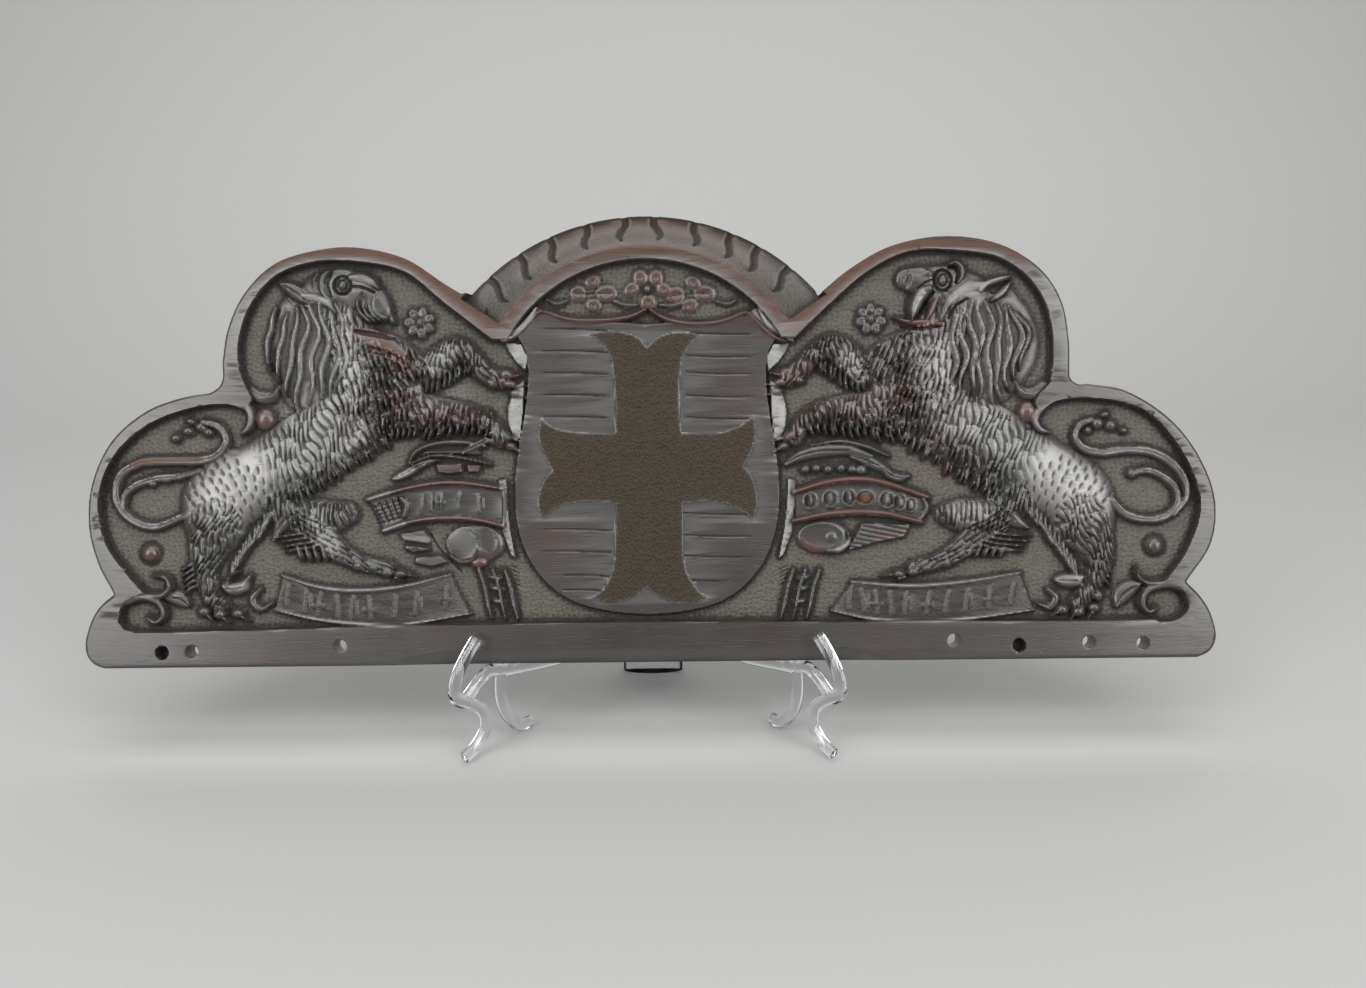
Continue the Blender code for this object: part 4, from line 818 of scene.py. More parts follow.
def carve_right_head():
    stand([(972, 292, 20), (950, 287, 23), (932, 283, 19), (916, 279, 14), (907, 278, 11)], 3.9, 0.35,
          blend=0.6)
    # Nostril: a hollow with a small curl in it, and the skull beside it
    press((905, 278), 7.5, 11, 1.6, 0, 0.6)
    add([(904, 285, 2), (905, 278, 2.8), (909, 274, 1.6)], 0.9)
    swell((929, 273), 8, 6, 4.5, -20, 0.5, blend=0.4)
    # The crease under the nose, and the long lip that hangs below it
    cut([(934, 279, 1.1), (926, 282, 1.3), (918, 288, 1.0)], 0.8)
    stand([(930, 288, 5.5), (924, 292, 8), (917, 301, 8), (914, 311, 5.5), (912, 320, 1.5)], 5.3, 0.5)
    for i in range(4):
        cut([(914 + i, 292 + 6 * i, 0.8), (921 + i, 290 + 6 * i, 1.0), (927 - i, 293 + 6 * i, 0.8)], 0.35)
    cut([(934, 292, 1.4), (926, 302, 1.8), (919, 316, 1.4)], 1.5)
    stand([(938, 296, 4), (934, 306, 5), (928, 318, 3)], 4.2, 0.55)
    # Brow curl behind the eye, and the eye's two grooves
    stand([(950, 264, 2), (956, 262, 3.4), (962, 267, 4.4), (963, 275, 4.2), (957, 284, 2)], 4.6, 0.5,
          blend=0.4)
    cut([(949, 267, 1.2), (955, 266, 1.5), (958, 273, 1.6), (956, 283, 1.2)], 1.4)
    swell((943, 280), 11.5, 13.5, 4.5, 0, 0.35)
    ring((943, 280), 8.6, 10.6, 1.7, -1.5)
    ring((943, 280), 4.6, 5.8, 1.3, -1.0)
    press((944, 281), 1.6, 2.0, -0.5)
    # Cheek: a bright band that turns down to the corner of the mouth
    stand([(984, 285, 6), (970, 286, 9), (957, 294, 8), (947, 305, 6.5), (942, 318, 4)], 4.7, 0.55)
    cut([(968, 298, 1.2), (956, 306, 1.6), (949, 318, 1.4)], 1.2)
    for i in range(3):
        cut([(952 - 4 * i, 294 + 6 * i, 0.8), (946 - 2 * i, 290 + 7 * i, 0.8)], 0.4)
    # Mouth: a pointed tongue over a dark slit and a thin lower lip
    stand([(941, 320, 4.5), (922, 322, 4.5), (908, 321, 3.2), (895, 317, 1.4)], 3.4, 0.5)
    cut([(941, 326, 1.4), (920, 328, 1.8), (902, 326, 1.0)], 1.2)
    stand([(942, 332, 4), (928, 333, 4.4), (912, 331, 2.4)], 3.6, 0.5)
    paint("red", [(940, 322, 8), (920, 324, 8), (897, 318, 5)], 1.0)
    paint("red", [(934, 300, 4), (930, 318, 4)], 0.8)
    # Ear: a leaf with a bright rim
    stand([(981, 290, 4), (988, 283, 4.5), (998, 279, 4), (1011, 276, 1.5)], 5.2, 0.55)
    press((1000, 288), 10, 5, 1.8, 18, 0.6)
    stand([(992, 300, 3), (1003, 293, 4), (1011, 281, 1.5)], 4.6, 0.6)
    # Painted highlights on the cheek, ear and lip
    for line in ([(980, 288, 8), (966, 290, 8), (952, 300, 6)], [(996, 296, 4), (1008, 286, 4)],
                 [(984, 284, 3), (1008, 277, 3)], [(922, 292, 5), (914, 310, 5)]):
        paint("painted_highlight", line, 0.9)


def carve_left_head():
    stand([(316, 294, 19), (338, 288, 22), (356, 292, 20), (370, 300, 17), (380, 310, 12)], 3.9, 0.35,
          blend=0.6)
    # Ear, the bright band before it and the forelock
    leaf([(318, 302, 3), (306, 300, 6), (296, 293, 8.5), (287, 287, 6), (280, 284, 2)], 4.3, 0.9)
    add([(312, 298, 1.4), (300, 288, 1.4), (290, 283, 1.4), (281, 284, 1.4), (284, 293, 1.4), (292, 303, 1.4),
         (306, 306, 1.4)], 0.7)
    stand([(302, 295, 4), (314, 297, 6), (326, 302, 6), (335, 312, 3)], 4.8, 0.55)
    stand([(330, 271, 2.4), (324, 275, 4.6), (321, 284, 5.0), (324, 294, 5.0), (331, 301, 2.4)], 5.0, 0.55)
    cut([(330, 275, 1.1), (327, 284, 1.4), (331, 296, 1.1)], 0.9)
    stand([(317, 274, 2), (313, 282, 3.6), (316, 292, 3)], 4.4, 0.6)
    swell((342, 285), 11, 11.5, 4.4, 0, 0.35)
    ring((342, 285), 8.4, 9, 1.7, -1.4)
    ring((342, 285), 4.6, 5.0, 1.3, -1.0)
    press((342, 285), 1.6, 1.8, -0.4)
    # Nose, the folds of the lip, and the open mouth over a thin jaw
    stand([(350, 277, 4), (360, 277, 6.5), (370, 281, 6), (378, 288, 3)], 4.9, 0.5)
    cut([(352, 286, 1.3), (362, 287, 1.6), (374, 292, 1.3)], 1.2)
    for i in range(4):
        near = 5.5 * i
        stand([(362 + near * 0.9, 292 + near * 0.2, 2.2), (357 + near, 303, 3.0), (361 + near, 314, 3.0),
               (370 + near * 0.8, 322 - near * 0.2, 2.0)], 4.9 - 0.25 * i, 0.55)
    swell((391, 319), 4, 6, 3.4, 20)
    stand([(354, 332, 7), (370, 338, 11), (388, 345, 9), (402, 354, 5)], 3.9, 0.3)
    cut([(354, 331, 2.2), (372, 334, 3.2), (392, 338, 2.0)], 1.7)
    cut([(358, 345, 1.0), (378, 349, 1.2), (396, 356, 0.9)], 0.7)
    stand([(362, 352, 1.4), (380, 356, 2.0), (398, 362, 2.0), (411, 371, 1.0)], 4.5, 0.6)
    for line in ([(356, 332, 10), (384, 338, 9)], [(372, 346, 8), (404, 356, 9)]):
        paint("red", line, 1.0)
    # Painted highlights on the band before the ear, down the neck and on the nose
    for line in ([(302, 296, 4), (328, 302, 5)], [(345, 312, 6), (350, 350, 7), (352, 390, 8)],
                 [(352, 279, 5), (370, 283, 5)]):
        paint("painted_highlight", line, 0.9)


def paws(toes, claws):
    """Toes (x, y, half wide, half high, turn) and the claws that stand out of them."""
    for x, y, wide, high, turn in toes:
        swell((x, y), wide, high, 4.2, turn, 0.5)
    for line in claws:
        stand(line, 3.2, 0.8)


def carve_feet():
    # Fore paws on the shield's sides
    paws([(786, 372, 9, 6, 20), (780, 382, 8, 5, 10), (776, 391, 7, 4, 0), (800, 380, 6, 5, 0)],
         [[(778, 374, 3), (768, 372, 1)], [(774, 384, 3), (765, 384, 1)], [(772, 393, 2.5), (764, 396, 1)]])
    paws([(506, 374, 9, 6, -20), (510, 384, 8, 5, -10), (514, 393, 7, 4, 0), (492, 384, 6, 5, 0)],
         [[(514, 376, 3), (522, 374, 1)], [(518, 386, 3), (526, 386, 1)], [(519, 395, 2.5), (526, 398, 1)]])
    paws([(790, 436, 9, 6, 30), (784, 446, 7, 5, 15), (800, 432, 6, 9, 0)],
         [[(782, 438, 3), (772, 442, 1)], [(780, 448, 3), (772, 454, 1)]])
    paws([(504, 436, 9, 6, -30), (510, 446, 7, 5, -15), (494, 432, 6, 9, 0)],
         [[(512, 438, 3), (521, 442, 1)], [(514, 448, 3), (522, 454, 1)]])
    # Hind feet
    paws([(1064, 610, 8, 6, 0), (1080, 612, 8, 6, 0), (1096, 608, 8, 6, 0), (1100, 596, 6, 7, 0)],
         [[(1060, 612, 3), (1052, 617, 1)], [(1076, 615, 3), (1070, 621, 1)],
          [(1094, 613, 3), (1088, 620, 1)]])
    paws([(202, 612, 8, 6, 0), (218, 615, 8, 6, 0), (236, 614, 8, 6, 0), (206, 600, 6, 7, 0)],
         [[(206, 616, 3), (213, 622, 1)], [(222, 619, 3), (229, 624, 1)], [(240, 617, 3), (248, 622, 1)]])
    paws([(928, 568, 7, 5, 10), (914, 572, 8, 5, 5), (900, 574, 8, 5, 0), (948, 563, 6, 6, 0)],
         [[(906, 577, 2.6), (896, 581, 1)], [(892, 575, 2.6), (882, 577, 1)]])
    paws([(372, 568, 7, 5, -10), (386, 573, 8, 5, -5), (399, 574, 8, 5, 0), (356, 566, 6, 6, 0)],
         [[(394, 578, 2.6), (403, 582, 1)], [(407, 575, 2.6), (416, 577, 1)]])
    # Spurs: bright ovals beside the hind feet, with a leaf beyond
    leaf([(1058, 580, 3), (1068, 581, 8), (1078, 581, 7), (1084, 577, 3)], 3.4, 0.8)
    leaf([(222, 586, 3), (230, 590, 7), (240, 588, 7), (248, 577, 3)], 3.4, 0.8)
    # Painted highlights on the spurs
    paint("painted_highlight", [(1060, 580, 6), (1080, 580, 6)], 0.8)
    paint("painted_highlight", [(224, 588, 6), (244, 586, 6)], 0.8)
    stand([(1050, 590, 3), (1058, 598, 5), (1052, 608, 4), (1040, 604, 2)], 2.4, 0.5)
    stand([(258, 590, 3), (250, 600, 5), (258, 610, 4), (270, 604, 2)], 2.4, 0.5)


def carve_flank_leaves():
    """Leaf and strand forms between the hind legs."""
    leaf([(990, 500, 3), (1003, 510, 9), (1016, 520, 8), (1030, 528, 2)], 3.0, 0.7)
    leaf([(272, 540, 2), (280, 524, 8), (292, 514, 9), (304, 508, 3)], 3.0, 0.7)
    for i in range(4):
        y = 526 + 5 * i
        stand([(968 + 3 * i, y, 2.0), (990, y + 6, 2.6), (1012, y + 9, 2.4), (1034 - 3 * i, y + 10, 1.0)],
              2.8, 0.7)
        stand([(334 - 3 * i, y, 2.0), (312, y + 6, 2.6), (292, y + 9, 2.4), (272 + 4 * i, y + 12, 1.0)], 2.8,
              0.7)
    for i in range(6):
        x = 966 + 8 * i
        stand([(x, 544 + i * 0.8, 2.6), (x - 3, 552, 2.6), (x - 5, 557, 1.2)], 3.4, 0.6)
        x = 296 + 8 * i
        stand([(x, 548 - i * 0.8, 2.6), (x + 3, 556, 2.6), (x + 5, 561, 1.2)], 3.4, 0.6)
    # Painted highlights on the strands
    paint("painted_highlight", [(960, 552, 4), (1010, 550, 4)], 0.6)
    paint("painted_highlight", [(296, 554, 4), (340, 556, 4)], 0.6)


# Tails: a flat strap with a sharp bright edge; then beads of the tuft
TAIL_RIGHT_OUTER = [(1176, 514, 3), (1189, 496, 4), (1186, 478, 5), (1173, 462, 5.5), (1155, 452, 5.5),
                    (1130, 449, 5.5), (1103, 452, 5.5), (1084, 447, 5), (1077, 436, 4.5), (1082, 424, 4),
                    (1094, 419, 3)]
TAIL_RIGHT_INNER = [(1114, 500, 4), (1126, 513, 5), (1146, 519, 5), (1168, 516, 5), (1180, 503, 4.5),
                    (1177, 487, 4.5), (1163, 475, 4.5), (1148, 470, 4), (1134, 473, 3)]
TAIL_LEFT_OUTER = [(186, 514, 4), (150, 527, 5), (124, 516, 5), (113, 497, 5), (118, 475, 5), (138, 463, 5.5),
                   (170, 461, 5.5), (200, 460, 5.5), (216, 454, 5), (224, 440, 5), (217, 427, 4.5),
                   (200, 421, 3)]
TAIL_WEAR = [(133, 463, 5), (165, 461, 5), (197, 459, 5)]
TAIL_LEFT_INNER = [(120, 508, 4), (122, 496, 4), (132, 486, 4.5), (152, 479, 4.5), (178, 476, 4),
                   (198, 470, 3)]


def carve_tails():
    for line in (TAIL_RIGHT_OUTER, TAIL_RIGHT_INNER, TAIL_LEFT_OUTER, TAIL_LEFT_INNER):
        stand(line, 2.9, 0.35)
        add([(x, y + half * 0.35, 1.3) for x, y, half in line], 0.5)
        cut([(x, y - half * 0.25, 1.5) for x, y, half in line], 0.5)
        # Painted highlight along each strap's raised edge
        paint("painted_highlight", [(x, y + half * 0.4, 2.2) for x, y, half in line], 0.75)
    for x, y, wide, high, turn in ((1100, 423, 7, 6, 20), (1113, 425, 7, 6, 10), (1126, 430, 5, 4, 0),
                                   (1107, 414, 6, 4, 20), (1090, 430, 5, 5, 0), (198, 427, 7, 5, -20),
                                   (185, 431, 7, 5, -10), (173, 438, 6, 5, 0), (188, 421, 6, 4, -20),
                                   (206, 432, 6, 5, 0), (150, 484, 5, 4, 0), (164, 480, 6, 4, 0),
                                   (178, 477, 6, 4, 0), (190, 474, 5, 3, 0), (1134, 473, 6, 6, 0)):
        swell((x, y), wide, high, 3.0, turn, 0.5)
    paint("worn", TAIL_WEAR, 0.7)
    paint("red", [(142, 554, 9), (152, 554, 9)], 1.0)
    for centre in ((1158, 546), (147, 554)):
        swell(centre, 9, 9, 3.0, 0, 0.5)
        ring(centre, 12, 12, 2.4, -0.5)


def carve_hooks():
    """The hooked ends of the rims where the lobes meet, with the ball and pocket beside each."""
    left = [(240, 402, 4.5), (247, 408, 5), (250, 418, 4.5), (247, 428, 3.5), (240, 434, 1.5)]
    right = [(1046, 404, 4.5), (1039, 411, 5), (1036, 420, 4.5), (1041, 429, 3.5), (1050, 432, 1.5)]
    for line in (left, right):
        stand(line, 4.4, 0.4)
        # Painted highlight along each hook
        paint("painted_highlight", line, 0.7)
    for ball, collar in (((263, 419), [(247, 390, 5), (258, 397, 7), (270, 396, 6), (277, 386, 3)]),
                         ((1030, 412), [(1046, 384, 5), (1036, 393, 7), (1025, 392, 6), (1018, 382, 3)])):
        stand(collar, 2.6, 0.5)
        cut([(x, y - 3, 2.0) for x, y, _ in collar], 0.6)
        swell(ball, 11, 12, 3.6, 0, 0.5)
        paint("red", [(ball[0] - 5, ball[1], 10), (ball[0] + 5, ball[1], 10)], 1.0)
    curls = [[(236, 572, 2), (228, 578, 2), (226, 588, 2)],
             [(150, 576, 1.5), (164, 578, 3), (168, 588, 3.4), (160, 596, 4), (140, 597, 4.5), (124, 602, 5)],
             [(116, 618, 2.5), (118, 606, 3), (128, 599, 4), (146, 598, 4.5), (158, 604, 4), (162, 616, 3.6),
              (154, 623, 3), (146, 618, 2.2)],
             [(1138, 567, 1.5), (1139, 576, 2.6), (1148, 583, 3), (1166, 583, 4), (1182, 584, 5)],
             [(1190, 604, 2.5), (1186, 592, 3), (1174, 586, 4), (1160, 586, 4.5), (1147, 592, 4.5),
              (1144, 605, 4), (1150, 612, 3), (1158, 608, 2.2)]]
    for line in curls:
        stand(line, 4.3, 0.4)
    leaf([(1118, 606, 3), (1124, 596, 9), (1134, 588, 8), (1142, 584, 3)], 2.6, 0.8)
    leaf([(186, 606, 3), (178, 600, 8), (170, 598, 7), (162, 598, 3)], 2.6, 0.8)


def strokes_row(line, count, half_height, half_width, height, seed):
    """A row of shallow strokes along a line, some with a short stroke beside or across them."""
    run = smooth(line, 8)
    for i in range(count):
        x, y = run[round((i + 0.7) / (count + 0.4) * (len(run) - 1))]
        lean = 4.0 * (scatter(seed + i) - 0.5)
        add([(x - lean, y - half_height, half_width), (x + lean * 0.3, y, half_width),
             (x + lean, y + half_height, half_width)],
            height, 0.6)
        if i % 3 == 1:
            add([(x + 5, y - half_height * 0.5, half_width * 0.8),
                 (x + 5, y + half_height * 0.6, half_width * 0.8)],
                height * 0.8, 0.6)
        if i % 3 == 2:
            add([(x - 5, y + half_height * 0.2, half_width * 0.8),
                 (x + 4, y + half_height * 0.2, half_width * 0.8)],
                height * 0.8, 0.6)


RIBBON_AREAS = []


def carve_ribbons():
    for upper, lower, seed, count in (
            ([(280, 576), (315, 587), (350, 591), (400, 587), (450, 575)],
             [(272, 610), (310, 619), (350, 624), (400, 625), (470, 614)], 3, 9),
            ([(852, 582), (885, 585), (920, 586), (967, 582), (1023, 573)],
             [(832, 611), (870, 619), (915, 621), (970, 619), (1036, 610)], 11, 10)):
        outline = smooth(upper, 6) + smooth(lower, 6)[::-1]
        area, distance = plate(outline, 1.5, 0.7)
        sag = rise((-distance) / 3.0)
        W[area] -= 0.4 * sag * (distance < 0)
        for edge in (upper, lower):
            stand(with_half(edge, 2.8, 0.5), 2.7, 0.6)
            # Painted highlight along the ribbon's edges
            paint("painted_highlight", with_half(edge, 2.6, 0.5), 0.9)
        middle = [((a[0] + b[0]) / 2, (a[1] + b[1]) / 2) for a, b in zip(upper, lower)]
        strokes_row(middle, count, 10.0, 2.9, 0.85, seed)
        RIBBON_AREAS.append((area, distance))
    # Folds that hang beside the shield, with rungs between them
    for side, middle in ((-1, 492), (1, 806)):
        for off, half in ((-16, 3.4), (-4, 2.4), (10, 3.0)):
            x = middle + side * off
            leaf([(x + side * 4, 570, 2.4), (x - side * 2, 588, half), (x - side * 5, 604, half),
                  (x - side * 9, 619, 2.0)],
                 2.9, 0.6)
        for i, y in enumerate((578, 589, 602)):
            swell((middle - side * 2 - side * i * 2, y), 8, 3.6, 2.4, 8 * side)
        for i in range(5):
            cut([(middle - side * 18, 566 + 4 * i, 1.0), (middle - side * 26, 570 + 4 * i, 1.0)], 0.5)


RIGHT_BAND_TOP = [(795, 492), (830, 482), (870, 480), (928, 497)]
RIGHT_BAND_FOOT = [(795, 521), (830, 514), (880, 513), (922, 522)]
LEFT_BAND_TOP = [(366, 500), (400, 490), (440, 483), (470, 484), (502, 489)]
LEFT_BAND_FOOT = [(382, 531), (410, 522), (450, 518), (476, 520), (502, 526)]


def carve_right_coronet():
    """A band with seven jewels between two rails, leaves over it, a cap and a striped lappet under it."""
    plate(smooth(RIGHT_BAND_TOP, 8) + smooth(RIGHT_BAND_FOOT, 8)[::-1], 1.7, 0.7)
    for line in (RIGHT_BAND_TOP, RIGHT_BAND_FOOT):
        stand(with_half(line, 4.4, 0.75), 3.7, 0.45)
        cut(with_half(offset_line(line, 0, 2), 0.9), 0.7)
        paint("red", with_half(line, 4.6, 0.8), 0.9)
        paint("worn", with_half(offset_line(line, 0, -1), 2.6, 0.6), 0.45)
    for x, y, wide, high in ((811, 501, 5, 8), (831, 499, 6, 8), (850, 498, 5, 8), (866, 498, 8, 7),
                             (888, 500, 6, 8), (901, 502, 5, 8), (912, 505, 4, 7)):
        area, a, b = turned((x, y), wide + 3, high + 2, 0)
        ring = np.abs(np.sqrt(a * a + b * b) - 0.82)
        W[area] += 0.6 * np.clip(1.0 - ring / 0.2, 0.0, 1.0)
        swell((x, y), wide, high, 3.3, 0, 0.5)
        press((x - 3, y), wide * 0.6, high * 0.8, 0.8)
    paint("worn", [(861, 498, 6), (871, 498, 6)], 1.0)
    # Painted highlights on the last jewels
    paint("painted_highlight", [(904, 502, 5), (914, 505, 5)], 0.9)
    stand([(924, 499, 3), (928, 508, 4), (920, 520, 3)], 3.0, 0.6)
    leaf([(786, 464, 3), (800, 456, 6), (822, 451, 7), (850, 450, 6), (872, 456, 3)], 3.0, 0.7)
    leaf([(852, 456, 2), (866, 460, 6), (880, 466, 6), (894, 474, 2)], 2.8, 0.7)
    stand([(812, 445, 2), (840, 441, 3), (866, 446, 3), (890, 456, 2)], 2.6, 0.6)
    for i, x in enumerate((806, 817, 829, 842, 853)):
        swell((x, 469 - (i % 2)), 6.0, 5.0, 3.0, 10)
    swell((862, 470), 7, 6, 2.8)
    leaf([(884, 468, 2), (890, 474, 5), (900, 478, 5), (910, 476, 2)], 2.6, 0.6)
    swell((824, 537), 27, 17, 2.8, 0, 0.35)
    press((822, 536), 21, 12, 1.2, 0, 0.6)
    swell((832, 537), 9, 8, 2.5, 0, 0.5)
    stand([(828, 551, 3), (842, 549, 4), (850, 540, 3), (848, 532, 1.5)], 3.6, 0.6)
    # Painted highlight on the cap's curl
    paint("painted_highlight", [(838, 550, 4), (848, 543, 4)], 1.0)
    paint("red", [(806, 548, 8), (818, 552, 7)], 1.0)
    outline = [(862, 522), (914, 523), (906, 538), (880, 543), (846, 552), (856, 534)]
    area, distance = plate(outline, 2.1, 0.8)
    W[area] -= 0.5 * (np.abs(np.sin(V[area] * 1.5 + U[area] * 0.3)) ** 4) * (distance < -0.6)
    paint("red", [(880, 536, 6), (905, 532, 6)], 0.6)


def carve_left_coronet():
    """A band with a hatched end and strokes, leaves and panels over it, fan strips and a cap under it."""
    plate(smooth(LEFT_BAND_TOP, 8) + smooth(LEFT_BAND_FOOT, 8)[::-1], 1.7, 0.7)
    for line in (LEFT_BAND_TOP, LEFT_BAND_FOOT):
        stand(with_half(line, 3.6, 0.75), 3.5, 0.45)
        cut(with_half(offset_line(line, 0, 2), 0.9), 0.6)
        paint("red", with_half(line[1:], 4.0, 0.8), 0.95)
    # Painted highlights on the left ends of the band's rails
    for line in ([(368, 499, 3), (388, 493, 3)], [(384, 530, 3), (404, 524, 3)]):
        paint("painted_highlight", line, 0.9)
    for i in range(5):
        cut([(372 + 6 * i, 505 - 2 * i, 1.2), (382 + 5 * i, 524 - 2 * i, 1.2)], 0.8)
        cut([(372 + i, 508 + 4 * i, 1.0), (400 + i, 500 + 4 * i, 1.0)], 0.5)
    stand([(400, 498, 3), (406, 505, 5), (403, 516, 4)], 3.2, 0.6)
    strokes_row([(414, 505), (440, 501), (490, 504)], 5, 8.0, 2.2, 0.8, 21)
    stand([(502, 486, 2.4), (504, 505, 2.4), (503, 526, 2.4)], 3.0, 0.6)
    leaf([(392, 479, 2), (402, 475, 5), (412, 469, 5), (424, 463, 4), (436, 460, 2)], 3.0, 0.7)
    # Painted highlight on the leaf
    paint("painted_highlight", [(394, 478, 4), (412, 470, 4)], 0.9)
    stand([(408, 463, 2), (414, 452, 3), (432, 444, 3), (462, 442, 3), (484, 446, 2)], 2.8, 0.6)
    stand([(408, 464, 1.6), (430, 456, 2.4), (456, 457, 2.4), (490, 464, 2)], 3.0, 0.6)
    plate([(424, 450), (478, 448), (484, 456), (456, 455), (430, 454), (416, 458)], 2.0, 0.8)
    plate([(434, 463), (462, 462), (463, 473), (446, 475), (436, 473)], 2.6, 0.8)
    plate([(465, 463), (481, 464), (480, 473), (466, 473)], 2.4, 0.8)
    paint("red", [(438, 468, 6), (478, 468, 6)], 0.7)
    leaf([(462, 452, 3), (474, 446, 5), (486, 440, 4), (496, 444, 2)], 3.2, 0.7)
    for outline in ([(396, 533), (424, 529), (432, 540), (428, 545), (402, 541)],
                    [(404, 544), (428, 547), (430, 551), (412, 554), (402, 549)],
                    [(414, 557), (440, 555), (449, 563), (430, 568), (412, 564)]):
        plate(outline, 2.4, 0.8)
    # Painted highlights on the panels
    paint("painted_highlight", [(402, 538, 5), (430, 541, 6)], 0.8)
    paint("painted_highlight", [(416, 560, 5), (444, 561, 5)], 0.5)
    swell((474, 544), 30, 20, 2.8, 0, 0.35)
    press((462, 543), 16, 15, 1.0, 0, 0.4)
    press((486, 541), 10, 14, 0.9, 20, 0.6)
    stand([(450, 556, 2.4), (460, 562, 3), (472, 560, 2.4), (478, 550, 1.6)], 3.4, 0.6)
    swell((478, 563), 10, 6, 3.0, 0, 0.5)
    paint("red", [(470, 563, 7), (486, 562, 7)], 1.0)
    cut([(428, 534, 1.2), (440, 552, 1.4), (460, 572, 1.2)], 0.8)


def make_relief():
    """Carve everything, each form over or into what is there, then lay the ground's grain and its mask."""
    carve_frame()
    carve_shield()
    carve_tympanum()
    carve_ribbons()
    carve_right_coronet()
    carve_left_coronet()
    carve_tails()
    carve_bodies()
    carve_flank_leaves()
    carve_manes()
    carve_right_head()
    carve_left_head()
    carve_feet()
    rosette((872, 318), 17, 7, 0.2)
    rosette((418, 322), 17, 7, 0.5)
    carve_shield_head()
    carve_end_panels()
    carve_hooks()
    cove = carve_arch()
    carve_notches()
    carve_rail()
    MASKS["ground"] *= 1.0 - rise((W + GROUND_DEPTH - 0.15) / 0.5)
    grain = GROUND_GRAIN * (np.sin(U * 2.7 + 1.3 * np.sin(V * 1.1)) + np.sin(V * 2.9 + 1.5 * np.sin(U * 0.9)))
    W[:] += grain * rise(MASKS["ground"] - 0.2)
    W[:] += FACE_WAVE * np.sin(V * 1.9 + 0.8 * np.sin(U * 0.13)) * (W > -GROUND_DEPTH + 0.5)
    MASKS["ground"] = np.maximum(MASKS["ground"], 0.4 * cove)
    for area, distance in RIBBON_AREAS:
        MASKS["ground"][area] = np.maximum(MASKS["ground"][area], 0.6 * (distance < -0.8))


def bilinear(values, u, v):
    """Grid values at places between the grid points."""
    column = np.clip((u - GRID_LEFT) / GRID, 0, GRID_COLUMNS - 1e-6)
    row = np.clip((v - GRID_FOOT) / GRID, 0, GRID_ROWS - 1e-6)
    c0, r0 = column.astype(int), row.astype(int)
    fc, fr = column - c0, row - r0
    return (values[r0, c0] * (1 - fc) * (1 - fr) + values[r0, c0 + 1] * fc * (1 - fr)
            + values[r0 + 1, c0] * (1 - fc) * fr + values[r0 + 1, c0 + 1] * fc * fr)


def blurred(values, radius):
    """A box blur run twice, by running sums."""
    for axis in (0, 1, 0, 1):
        pad = [(0, 0), (0, 0)]
        pad[axis] = (radius + 1, radius)
        total = np.cumsum(np.pad(values, pad, mode="edge"), axis=axis)
        size = 2 * radius + 1
        count = values.shape[axis]
        high = np.take(total, np.arange(size, size + count), axis=axis)
        low = np.take(total, np.arange(0, count), axis=axis)
        values = (high - low) / size
    return values


def solid_distance():
    """Signed distance in mm to the board's outline and its through holes, over the whole grid."""
    whole = np.full_like(U, 6.0)
    area, distance = signed_distance(board_outline(), 6.0)
    whole[area] = distance
    for centre, through in HOLES:
        if through:
            u, v = at(*centre)
            whole = np.maximum(whole, HOLE_RADIUS - np.hypot(U - u, V - v))
    return whole


def choose(piece):
    """Select one object alone and make it the active one."""
    bpy.ops.object.select_all(action="DESELECT")
    piece.select_set(True)
    bpy.context.view_layer.objects.active = piece


def board_place():
    """Where the board's face stands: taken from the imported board's box and the lean."""
    low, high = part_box("pediment")
    top = max(at(x, y)[1] for x, y in board_outline())
    left = min(at(x, y)[0] for x, y in board_outline())
    right = max(at(x, y)[0] for x, y in board_outline())
    shift_x = (low[0] + high[0]) / 2 - (left + right) / 2 * MM
    shift_y = high[1] - (top * math.sin(LEAN) + BOARD_THICK * math.cos(LEAN)) * MM
    seat_z = high[2] - (top * math.cos(LEAN) - (BOARD_THICK - COVE_EDGE) * math.sin(LEAN)) * MM
    return Matrix.Translation((shift_x, shift_y, seat_z)) @ Matrix.Rotation(math.pi / 2 - LEAN, 4, "X")


